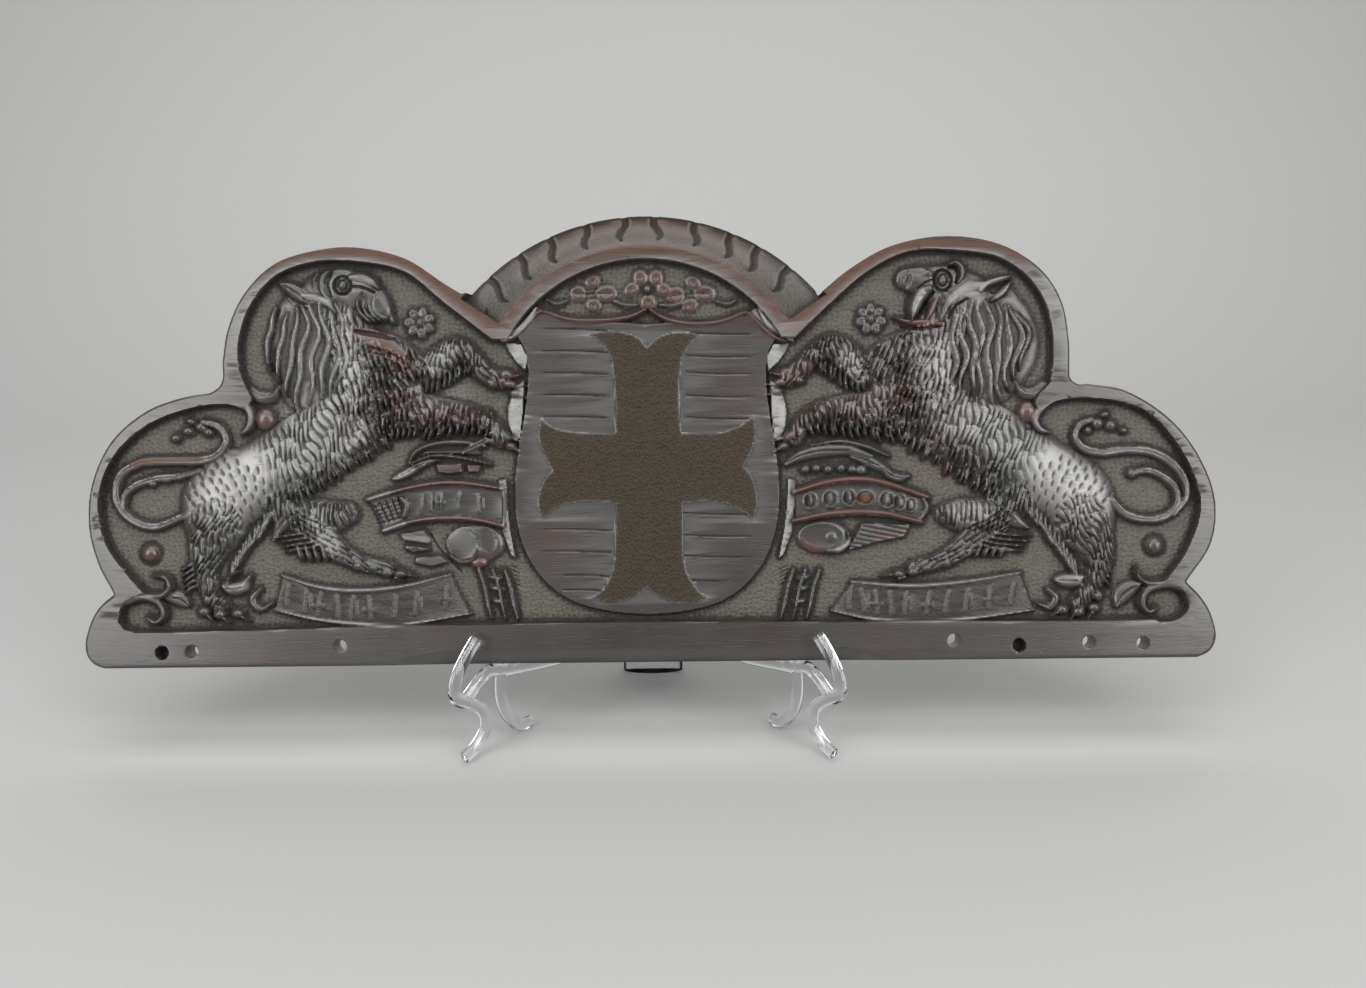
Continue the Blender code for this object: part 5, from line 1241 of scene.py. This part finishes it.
def make_board():
    """A fine grid over the face, raised to the relief, trimmed to the outline and given its back."""
    bpy.ops.mesh.primitive_grid_add(x_subdivisions=GRID_COLUMNS, y_subdivisions=GRID_ROWS, size=1.0)
    board = bpy.context.active_object
    board.name = "carved_board"
    mesh = board.data
    count = len(mesh.vertices)
    places = np.empty(count * 3, dtype=np.float32)
    mesh.vertices.foreach_get("co", places)
    places = places.reshape(-1, 3)
    column = np.rint((places[:, 0] + 0.5) * GRID_COLUMNS).astype(int)
    row = np.rint((places[:, 1] + 0.5) * GRID_ROWS).astype(int)
    gap = solid_distance()
    slope_v, slope_u = np.gradient(gap, GRID)
    steep = np.maximum(np.hypot(slope_u, slope_v), 0.3)
    u, v, off = U[row, column], V[row, column], gap[row, column]
    outside = off > 0
    u = np.where(outside, u - off * (slope_u / steep)[row, column], u)
    v = np.where(outside, v - off * (slope_v / steep)[row, column], v)
    places[:, 0] = u * MM
    places[:, 1] = v * MM
    places[:, 2] = bilinear(W, u, v) * MM
    mesh.vertices.foreach_set("co", places.ravel())
    corners = np.empty(len(mesh.polygons) * 4, dtype=np.int32)
    mesh.polygons.foreach_get("vertices", corners)
    corners = corners.reshape(-1, 4)
    unwanted = np.all(outside[corners], axis=1)
    bpy.ops.object.mode_set(mode="EDIT")
    bpy.ops.mesh.select_mode(type="FACE")
    bpy.ops.mesh.select_all(action="DESELECT")
    bpy.ops.object.mode_set(mode="OBJECT")
    mesh.polygons.foreach_set("select", unwanted)
    bpy.ops.object.mode_set(mode="EDIT")
    bpy.ops.mesh.delete(type="FACE")
    bpy.ops.mesh.select_mode(type="EDGE")
    bpy.ops.mesh.select_all(action="DESELECT")
    bpy.ops.mesh.select_non_manifold(extend=False, use_wire=False, use_multi_face=False,
                                     use_non_contiguous=False, use_verts=False)
    bpy.ops.mesh.extrude_edges_move()
    bpy.ops.object.mode_set(mode="OBJECT")
    chosen = np.empty(len(mesh.vertices), dtype=bool)
    mesh.vertices.foreach_get("select", chosen)
    places = np.empty(len(mesh.vertices) * 3, dtype=np.float32)
    mesh.vertices.foreach_get("co", places)
    places = places.reshape(-1, 3)
    places[chosen, 2] = -BOARD_THICK * MM
    mesh.vertices.foreach_set("co", places.ravel())
    mesh.update()
    bpy.ops.object.mode_set(mode="EDIT")
    bpy.ops.mesh.fill(use_beauty=False)
    bpy.ops.mesh.select_all(action="SELECT")
    bpy.ops.mesh.normals_make_consistent(inside=False)
    bpy.ops.object.mode_set(mode="OBJECT")
    mesh.calc_loop_triangles()
    thinner = board.modifiers.new("thinner", "DECIMATE")
    thinner.ratio = min(1.0, BOARD_TRIANGLES / len(mesh.loop_triangles))
    bpy.ops.object.modifier_apply(modifier="thinner")
    return board


def paint_masks(board):
    """Write the masks, and the hollows and ridges of the relief, on the finished board's points."""
    mesh = board.data
    places = np.empty(len(mesh.vertices) * 3, dtype=np.float32)
    mesh.vertices.foreach_get("co", places)
    places = places.reshape(-1, 3) / MM
    on_face = places[:, 2] > -BOARD_THICK + 0.4
    depth = W - blurred(W, 2)
    broad = W - blurred(W, 8)
    # Hollows below the local mean and ridges above it: the finish paints shade in the one and a highlight on
    # the other
    MASKS["hollow"] = np.clip(-depth * 3.0 - broad * 0.28, 0.0, 1.0)
    MASKS["ridge"] = np.clip(depth * 3.5 + broad * 0.35, 0.0, 1.0)
    for name, values in MASKS.items():
        found = bilinear(values, places[:, 0], places[:, 1]) * on_face
        layer = mesh.attributes.new(name, "FLOAT", "POINT")
        layer.data.foreach_set("value", found.astype(np.float32))


make_relief()
board = make_board()
paint_masks(board)
choose(board)
BOARD_PLACE = board_place()
board.data.transform(BOARD_PLACE)
bpy.ops.object.shade_smooth_by_angle(angle=BOARD_CREASE)
even = board.modifiers.new("even_shading", "WEIGHTED_NORMAL")
even.keep_sharp = True
even.mode = "FACE_AREA_WITH_ANGLE"
even.weight = EVEN_WEIGHT
bpy.ops.object.modifier_apply(modifier=even.name)


def socket(group, name, kind, value=None, out=False):
    made = group.interface.new_socket(name=name, in_out="OUTPUT" if out else "INPUT", socket_type=kind)
    if value is not None:
        made.default_value = value
    return made


class Nodes:
    """Short calls for placing and linking nodes in one tree."""

    def __init__(self, tree):
        self.tree = tree
        self.tree.nodes.clear()

    def add(self, kind, inputs=None, **settings):
        node = self.tree.nodes.new(kind)
        for name, value in settings.items():
            setattr(node, name, value)
        for name, value in (inputs or {}).items():
            if isinstance(value, bpy.types.NodeSocket):
                self.tree.links.new(value, node.inputs[name])
            else:
                node.inputs[name].default_value = value
        return node

    def math(self, operation, a, b=0.0, clamp=False):
        return self.add("ShaderNodeMath", {0: a, 1: b}, operation=operation, use_clamp=clamp).outputs[0]

    def mix(self, share, a, b):
        node = self.add("ShaderNodeMix", {"Factor": share}, data_type="RGBA")
        for index, value in ((6, a), (7, b)):
            if isinstance(value, bpy.types.NodeSocket):
                self.tree.links.new(value, node.inputs[index])
            else:
                node.inputs[index].default_value = value
        return node.outputs[2]

    def attribute(self, name):
        return self.add("ShaderNodeAttribute", attribute_name=name).outputs["Fac"]

    def ramp(self, value, low, high):
        return self.add("ShaderNodeMapRange", {"Value": value, "From Min": low, "From Max": high},
                        interpolation_type="SMOOTHSTEP").outputs["Result"]


def oak_grain_group():
    """Grain along the board: long fibres, open pores and a broad change of tone."""
    group = bpy.data.node_groups.new("oak_grain", "ShaderNodeTree")
    socket(group, "Scale", "NodeSocketFloat", 1.0)
    socket(group, "Fibres", "NodeSocketFloat", out=True)
    socket(group, "Pores", "NodeSocketFloat", out=True)
    socket(group, "Tone", "NodeSocketFloat", out=True)
    nodes = Nodes(group)
    inlet = nodes.add("NodeGroupInput")
    where = nodes.add("ShaderNodeTexCoord").outputs["Object"]
    stretched = nodes.add("ShaderNodeMapping", {"Vector": where, "Scale": (0.06, 1.0, 1.0)}).outputs[0]
    waver = nodes.add("ShaderNodeTexNoise", {"Vector": where, "Scale": 9.0, "Detail": 2.0}).outputs["Color"]
    bent = nodes.add("ShaderNodeMix", {0: 0.02}, data_type="VECTOR")
    nodes.tree.links.new(stretched, bent.inputs[4])
    nodes.tree.links.new(waver, bent.inputs[5])
    scale = nodes.math("MULTIPLY", inlet.outputs["Scale"], 900.0)
    fibres = nodes.add("ShaderNodeTexNoise", {"Vector": bent.outputs[1], "Scale": scale, "Detail": 4.0,
                                              "Roughness": 0.6}).outputs["Fac"]
    pore_map = nodes.add("ShaderNodeMapping", {"Vector": where, "Scale": (0.09, 1.0, 1.0)}).outputs[0]
    pores = nodes.add("ShaderNodeTexNoise", {"Vector": pore_map, "Scale": 1500.0,
                                             "Detail": 1.0}).outputs["Fac"]
    pores = nodes.ramp(pores, 0.62, 0.75)
    tone = nodes.add("ShaderNodeTexNoise", {"Vector": where, "Scale": 22.0, "Detail": 5.0,
                                            "Roughness": 0.6}).outputs["Fac"]
    outlet = nodes.add("NodeGroupOutput")
    for name, value in (("Fibres", fibres), ("Pores", pores), ("Tone", tone)):
        nodes.tree.links.new(value, outlet.inputs[name])
    return group


GRAIN = oak_grain_group()
DARK_OAK = (0.02, 0.015, 0.012, 1.0)
GREY_OAK = (0.029, 0.029, 0.027, 1.0)
# Light grey for the painted highlights
HIGHLIGHT_GREY = (0.26, 0.255, 0.25, 1.0)
RED_OAK = (0.06, 0.015, 0.01, 1.0)
WORN_OAK = (0.105, 0.037, 0.014, 1.0)
GROUND_OAK = (0.078, 0.071, 0.057, 1.0)
CROSS_OAK = (0.036, 0.027, 0.016, 1.0)
# Near black for the pores, and for the painted shade in the relief's hollows
PORE_AND_SHADE_BLACK = (0.008, 0.006, 0.005, 1.0)
# The wax polish over bare faces: its weight and roughness, the wood's own shine and what wear takes off it
COAT = 0.52
COAT_ROUGHNESS = 0.24
SHINE = 0.42
WORN_SHINE_LOSS = 0.25


def carved_oak():
    made = bpy.data.materials.new("old_carved_oak")
    made.use_nodes = True
    nodes = Nodes(made.node_tree)
    grain = nodes.add("ShaderNodeGroup", node_tree=GRAIN)
    where = nodes.add("ShaderNodeTexCoord").outputs["Object"]
    ground, worn, red, cross, painted_highlight, hollow, ridge = (
        nodes.attribute(name) for name in ("ground", "worn", "red", "cross", "painted_highlight", "hollow", "ridge"))
    patches = nodes.ramp(nodes.add("ShaderNodeTexNoise",
                                   {"Vector": where, "Scale": 17.0, "Detail": 4.0}).outputs["Fac"],
                         0.5, 0.68)
    base = nodes.mix(nodes.ramp(grain.outputs["Tone"], 0.3, 0.7), DARK_OAK, GREY_OAK)
    base = nodes.mix(nodes.math("MULTIPLY", grain.outputs["Fibres"], 0.5), base, DARK_OAK)
    base = nodes.mix(nodes.math("MAXIMUM", nodes.math("MULTIPLY", patches, 0.28), red), base, RED_OAK)
    base = nodes.mix(nodes.math("MULTIPLY", cross, 0.75), base, CROSS_OAK)
    base = nodes.mix(nodes.math("MULTIPLY", ground, 0.8), base, GROUND_OAK)
    # Painted highlight: light grey mixed in where the highlight mask is set
    base = nodes.mix(nodes.math("MULTIPLY", nodes.math("MULTIPLY", painted_highlight, painted_highlight), 0.9), base, HIGHLIGHT_GREY)
    worn_share = nodes.math("MULTIPLY", worn, nodes.ramp(grain.outputs["Fibres"], 0.3, 0.62))
    base = nodes.mix(worn_share, base, WORN_OAK)
    # Painted highlight: ridges of the relief lightened towards grey
    base = nodes.mix(nodes.math("MULTIPLY", ridge, 0.4), base, GREY_OAK)
    # Painted shade: the hollows of the relief darkened towards black
    base = nodes.mix(nodes.math("MULTIPLY", hollow, 0.92), base, PORE_AND_SHADE_BLACK)
    base = nodes.mix(nodes.math("MULTIPLY", grain.outputs["Pores"], 0.35), base, PORE_AND_SHADE_BLACK)
    rough = nodes.math("ADD", nodes.math("MULTIPLY", grain.outputs["Tone"], 0.2), 0.27)
    rough = nodes.math("ADD", rough, nodes.math("MULTIPLY", ground, 0.3))
    rough = nodes.math("ADD", rough, nodes.math("MULTIPLY", nodes.math("MAXIMUM", cross, worn), 0.27))
    rough = nodes.math("ADD", rough, nodes.math("MULTIPLY", hollow, 0.2), clamp=True)
    punches = nodes.add("ShaderNodeTexVoronoi", {"Vector": where, "Scale": 720.0},
                        feature="F1").outputs["Distance"]
    punches = nodes.math("MULTIPLY", nodes.ramp(punches, 0.0, 0.75), nodes.math("MAXIMUM", ground, cross))
    fine = nodes.math("MULTIPLY", grain.outputs["Fibres"], 0.25)
    height = nodes.math("ADD", nodes.math("MULTIPLY", punches, 0.9), fine)
    height = nodes.math("SUBTRACT", height, nodes.math("MULTIPLY", grain.outputs["Pores"], 0.2))
    bump = nodes.add("ShaderNodeBump", {"Height": height, "Strength": 0.7,
                                        "Distance": 0.0007}).outputs["Normal"]
    dull = nodes.math("MAXIMUM", nodes.math("MAXIMUM", hollow, nodes.math("MULTIPLY", ground, 0.9)),
                      nodes.math("MULTIPLY", nodes.math("MAXIMUM", worn, cross), 0.95))
    coat = nodes.math("MULTIPLY", nodes.math("SUBTRACT", 1.0, dull), COAT)
    shine = nodes.math("MULTIPLY", nodes.math("MAXIMUM", worn, cross), WORN_SHINE_LOSS)
    shine = nodes.math("SUBTRACT", SHINE, shine)
    shader = nodes.add("ShaderNodeBsdfPrincipled", {"Base Color": base, "Roughness": rough, "Normal": bump,
                                                    "Coat Weight": coat, "Coat Roughness": COAT_ROUGHNESS,
                                                    "Specular IOR Level": shine})
    nodes.add("ShaderNodeOutputMaterial", {"Surface": shader.outputs[0]})
    return made


board.data.materials.clear()
board.data.materials.append(carved_oak())
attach(board, "root")
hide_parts("pediment")

# The easel, in millimetres
EASEL_THICK = 5.0
STRIP_WIDTH = 6.0
STRIP_STEP = 0.1
LEDGE_HEIGHT = 40.0
HOOK_SPACING = 148.0
FRAME_TURN = math.radians(38.0)
UPRIGHT_REACH = 105.0
REAR_REACH = 103.0
HOOK_RISE = 13.0
KNUCKLE_RADIUS = 4.5
KNUCKLE_HEIGHT = 40.0
BRACE_SHARE = 0.62
GAP = 0.3


def bar(line, order):
    """A smooth rounded bar of the easel, drawn in its frame's upright plane (back, up)."""
    curve = bpy.data.curves.new("bar", "CURVE")
    curve.dimensions = "3D"
    curve.bevel_depth = STRIP_WIDTH / 2 * MM
    curve.bevel_resolution = 5
    curve.use_fill_caps = True
    run = smooth(line, 7)
    spline = curve.splines.new("POLY")
    spline.points.add(len(run) - 1)
    for point, (s, z) in zip(spline.points, run):
        point.co = (s * MM, z * MM, 0.0, 1.0)
    holder = bpy.data.objects.new("bar", curve)
    bpy.context.scene.collection.objects.link(holder)
    choose(holder)
    bpy.ops.object.convert(target="MESH")
    piece = bpy.context.active_object
    bpy.ops.object.mode_set(mode="EDIT")
    bpy.ops.mesh.select_all(action="SELECT")
    bpy.ops.mesh.remove_doubles(threshold=1e-6)
    bpy.ops.mesh.normals_make_consistent(inside=False)
    bpy.ops.object.mode_set(mode="OBJECT")
    piece.data.transform(Matrix.Diagonal((1.0, 1.0, (EASEL_THICK - order * STRIP_STEP) / STRIP_WIDTH, 1.0)))
    return piece


def unite(first, second):
    """Join second into first as one closed body."""
    choose(first)
    change = first.modifiers.new("joined", "BOOLEAN")
    change.operation = "UNION"
    change.solver = "MANIFOLD"
    change.object = second
    bpy.ops.object.modifier_apply(modifier="joined")
    bpy.data.objects.remove(second)


def make_easel():
    half = STRIP_WIDTH / 2
    seat = LEDGE_HEIGHT + BOARD_THICK * math.sin(LEAN)
    slope = math.tan(LEAN) / math.cos(FRAME_TURN)
    fall = math.tan(LEAN) * math.cos(FRAME_TURN)
    skew = EASEL_THICK / 2 * math.tan(FRAME_TURN)
    skew_drop = EASEL_THICK / 2 * math.sin(FRAME_TURN) * math.tan(LEAN)
    back = BOARD_THICK / math.cos(LEAN) / math.cos(FRAME_TURN) + half * math.hypot(1.0, slope) + skew + GAP

    def under(s):
        return seat - s * fall - half * math.hypot(1.0, fall) - skew_drop - GAP

    def behind(z):
        return back + (z - seat) * slope

    front = -half - skew
    hook = [(front + 3.5, seat + HOOK_RISE), (front - 3.5, seat + HOOK_RISE * 0.5), (front - 9.5, seat - 1.5),
            (front - 11.0, seat - 8.5), (front - 6.5, seat - 13.0), (-2.5, under(0.0) - 4.0),
            (4.0, under(4.0)), (back - 9.0, under(back - 9.0))]
    middle, top = seat + UPRIGHT_REACH / 2, seat + UPRIGHT_REACH
    upright = [(back - 9.5, under(back - 9.5)), (behind(seat - 8.5) + 0.5, seat - 8.5),
               (behind(seat - 2.0), seat - 2.0), (behind(middle), middle), (behind(top), top)]
    front_leg = [(front - 8.0, seat - 12.5), (front - 1.0, seat - 17.0), (front + 5.0, seat - 23.5),
                 (front + 5.5, seat - 31.0), (front - 0.5, half + 3.0), (front - 8.0, half)]
    middle_leg = [(back - 8.0, under(back - 8.0)), (back - 9.5, seat - 18.0), (back - 7.0, seat - 29.0),
                  (back + 1.0, half + 1.5), (back + 8.0, half)]
    brace_top = seat + UPRIGHT_REACH * BRACE_SHARE
    rear_leg = [(behind(brace_top), brace_top), (REAR_REACH * 0.8, seat + 4.0),
                (REAR_REACH - 4.0, seat * 0.4), (REAR_REACH, half)]
    tie = [(back - 4.0, seat - 9.0), (REAR_REACH * 0.55, seat - 17.0), (REAR_REACH - 5.0, seat - 14.0)]
    bpy.ops.mesh.primitive_cylinder_add(vertices=48, radius=KNUCKLE_RADIUS * MM, depth=KNUCKLE_HEIGHT * MM)
    knuckle = bpy.context.active_object
    knuckle.name = "clear_easel"
    meet_y = REAR_REACH * math.cos(FRAME_TURN)
    meet_x = HOOK_SPACING / 2 - REAR_REACH * math.sin(FRAME_TURN)
    knuckle.data.transform(Matrix.Translation((0.0, meet_y * MM, KNUCKLE_HEIGHT / 2 * MM))
                           @ Matrix.Diagonal(((meet_x + KNUCKLE_RADIUS) / KNUCKLE_RADIUS, 1.0, 1.0, 1.0)))
    for side in (-1, 1):
        place = (Matrix.Translation((side * HOOK_SPACING / 2 * MM, 0.0, 0.0))
                 @ Matrix.Rotation(math.pi / 2 + side * FRAME_TURN, 4, "Z")
                 @ Matrix.Rotation(math.pi / 2, 4, "X"))
        for order, line in enumerate((hook, upright, front_leg, middle_leg, rear_leg, tie)):
            piece = bar(line, order)
            piece.data.transform(place)
            unite(knuckle, piece)
    shift = BOARD_PLACE.translation
    knuckle.data.transform(Matrix.Translation((shift.x, shift.y, 0.0)))
    return knuckle


def clear_plastic():
    made = bpy.data.materials.new("clear_moulded_plastic")
    made.use_nodes = True
    nodes = Nodes(made.node_tree)
    where = nodes.add("ShaderNodeTexCoord").outputs["Object"]
    smudges = nodes.add("ShaderNodeTexNoise", {"Vector": where, "Scale": 60.0, "Detail": 3.0}).outputs["Fac"]
    rough = nodes.math("MULTIPLY", nodes.ramp(smudges, 0.45, 0.8), 0.12)
    shader = nodes.add("ShaderNodeBsdfPrincipled", {"Roughness": rough})
    shader.inputs["Base Color"].default_value = (0.96, 0.98, 0.98, 1.0)
    shader.inputs["Transmission Weight"].default_value = 1.0
    shader.inputs["IOR"].default_value = 1.46
    nodes.add("ShaderNodeOutputMaterial", {"Surface": shader.outputs[0]})
    return made


easel = make_easel()
choose(easel)
bpy.ops.object.shade_smooth_by_angle(angle=math.radians(45))
easel.data.materials.clear()
easel.data.materials.append(clear_plastic())
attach(easel, "root")
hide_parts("easel")

# Camera: square to the board's face, its axis meeting the face at the middle of the view
VIEW_POINT = (683, 494)
VIEW_DISTANCE = 552.0
FOCAL_PIXELS = 1250.0
IMAGE_WIDTH = 1366.0
SENSOR = 36.0


def make_camera():
    data = bpy.data.cameras.new("camera")
    data.sensor_fit = "HORIZONTAL"
    data.sensor_width = SENSOR
    data.lens = FOCAL_PIXELS * SENSOR / IMAGE_WIDTH
    data.clip_start = 0.01
    data.clip_end = 50.0
    camera = bpy.data.objects.new("camera", data)
    bpy.context.scene.collection.objects.link(camera)
    u, v = at(*VIEW_POINT)
    camera.matrix_world = (BOARD_PLACE @ Matrix.Translation((u * MM, v * MM, VIEW_DISTANCE * MM))
                           @ Matrix.Rotation(-DRAWING_TURN, 4, "Z"))
    bpy.context.scene.camera = camera


def flat_material(name, colour, roughness):
    made = bpy.data.materials.new(name)
    made.use_nodes = True
    shader = made.node_tree.nodes["Principled BSDF"]
    shader.inputs["Base Color"].default_value = colour
    shader.inputs["Roughness"].default_value = roughness
    return made


# The floor, in metres: the curve up into the backdrop, its height and the floor's reach to the front
COVE_RADIUS = 0.5
COVE_TURNS = 12
BACKDROP_HEIGHT = 3.0
FLOOR_REACH = 3.0
PALE_PAPER = (0.3, 0.3, 0.296, 1.0)


def make_floor():
    """A plain light grey floor that curves up into a plain backdrop."""
    bpy.ops.mesh.primitive_plane_add(size=1.0)
    floor = bpy.context.active_object
    floor.name = "floor"
    floor.data.transform(Matrix.Translation((0.0, -0.1, 0.0)) @ Matrix.Diagonal((9.0, 1.2, 1.0, 1.0)))
    bpy.ops.object.mode_set(mode="EDIT")
    bpy.ops.mesh.select_mode(type="EDGE")
    bpy.ops.mesh.select_all(action="DESELECT")
    bpy.ops.object.mode_set(mode="OBJECT")
    for edge in floor.data.edges:
        edge.select = all(floor.data.vertices[i].co.y > 0.0 for i in edge.vertices)
    bpy.ops.object.mode_set(mode="EDIT")
    step = COVE_RADIUS * math.pi / 2 / COVE_TURNS
    for i in range(COVE_TURNS):
        angle = (i + 0.5) / COVE_TURNS * math.pi / 2
        bpy.ops.mesh.extrude_region_move(TRANSFORM_OT_translate={"value": (0.0, step * math.cos(angle),
                                                                           step * math.sin(angle))})
    bpy.ops.mesh.extrude_region_move(TRANSFORM_OT_translate={"value": (0.0, 0.0, BACKDROP_HEIGHT)})
    bpy.ops.object.mode_set(mode="OBJECT")
    for vertex in floor.data.vertices:
        if vertex.co.y < -0.5:
            vertex.co.y = -FLOOR_REACH
    bpy.ops.object.shade_smooth()
    floor.data.materials.append(flat_material("pale_paper", PALE_PAPER, 0.7))


def area_light(name, place, target, size, power):
    data = bpy.data.lights.new(name, "AREA")
    data.shape = "RECTANGLE"
    data.size, data.size_y = size
    data.energy = power
    light = bpy.data.objects.new(name, data)
    bpy.context.scene.collection.objects.link(light)
    light.location = place
    light.rotation_euler = (Vector(target) - Vector(place)).to_track_quat("-Z", "Y").to_euler()


# Softboxes: name, place, what each one faces, size, all in metres, and power in watts
BOARD_MIDDLE = (0.0, 0.0, 0.12)
SOFTBOXES = (("left_softbox", (-0.9, -1.05, 0.75), BOARD_MIDDLE, (0.7, 1.1), 17.0),
             ("right_softbox", (0.9, -1.05, 0.75), BOARD_MIDDLE, (0.7, 1.1), 17.0),
             ("front_softbox", (0.0, -0.95, 1.25), BOARD_MIDDLE, (1.2, 0.4), 5.5),
             ("top_softbox", (0.0, -0.25, 1.6), BOARD_MIDDLE, (1.8, 0.7), 15.0),
             ("back_softbox", (0.0, 0.75, 1.15), (0.0, 0.15, 0.0), (1.8, 0.6), 9.0))
SKY_COLOUR = (0.8, 0.79, 0.78, 1.0)
SKY_STRENGTH = 0.42


def make_lights():
    for name, place, target, size, power in SOFTBOXES:
        area_light(name, place, target, size, power)
    world = bpy.data.worlds.new("studio")
    bpy.context.scene.world = world
    world.use_nodes = True
    sky = world.node_tree.nodes["Background"]
    sky.inputs["Color"].default_value = SKY_COLOUR
    sky.inputs["Strength"].default_value = SKY_STRENGTH


make_camera()
make_floor()
make_lights()
bpy.context.scene.view_settings.view_transform = "Standard"
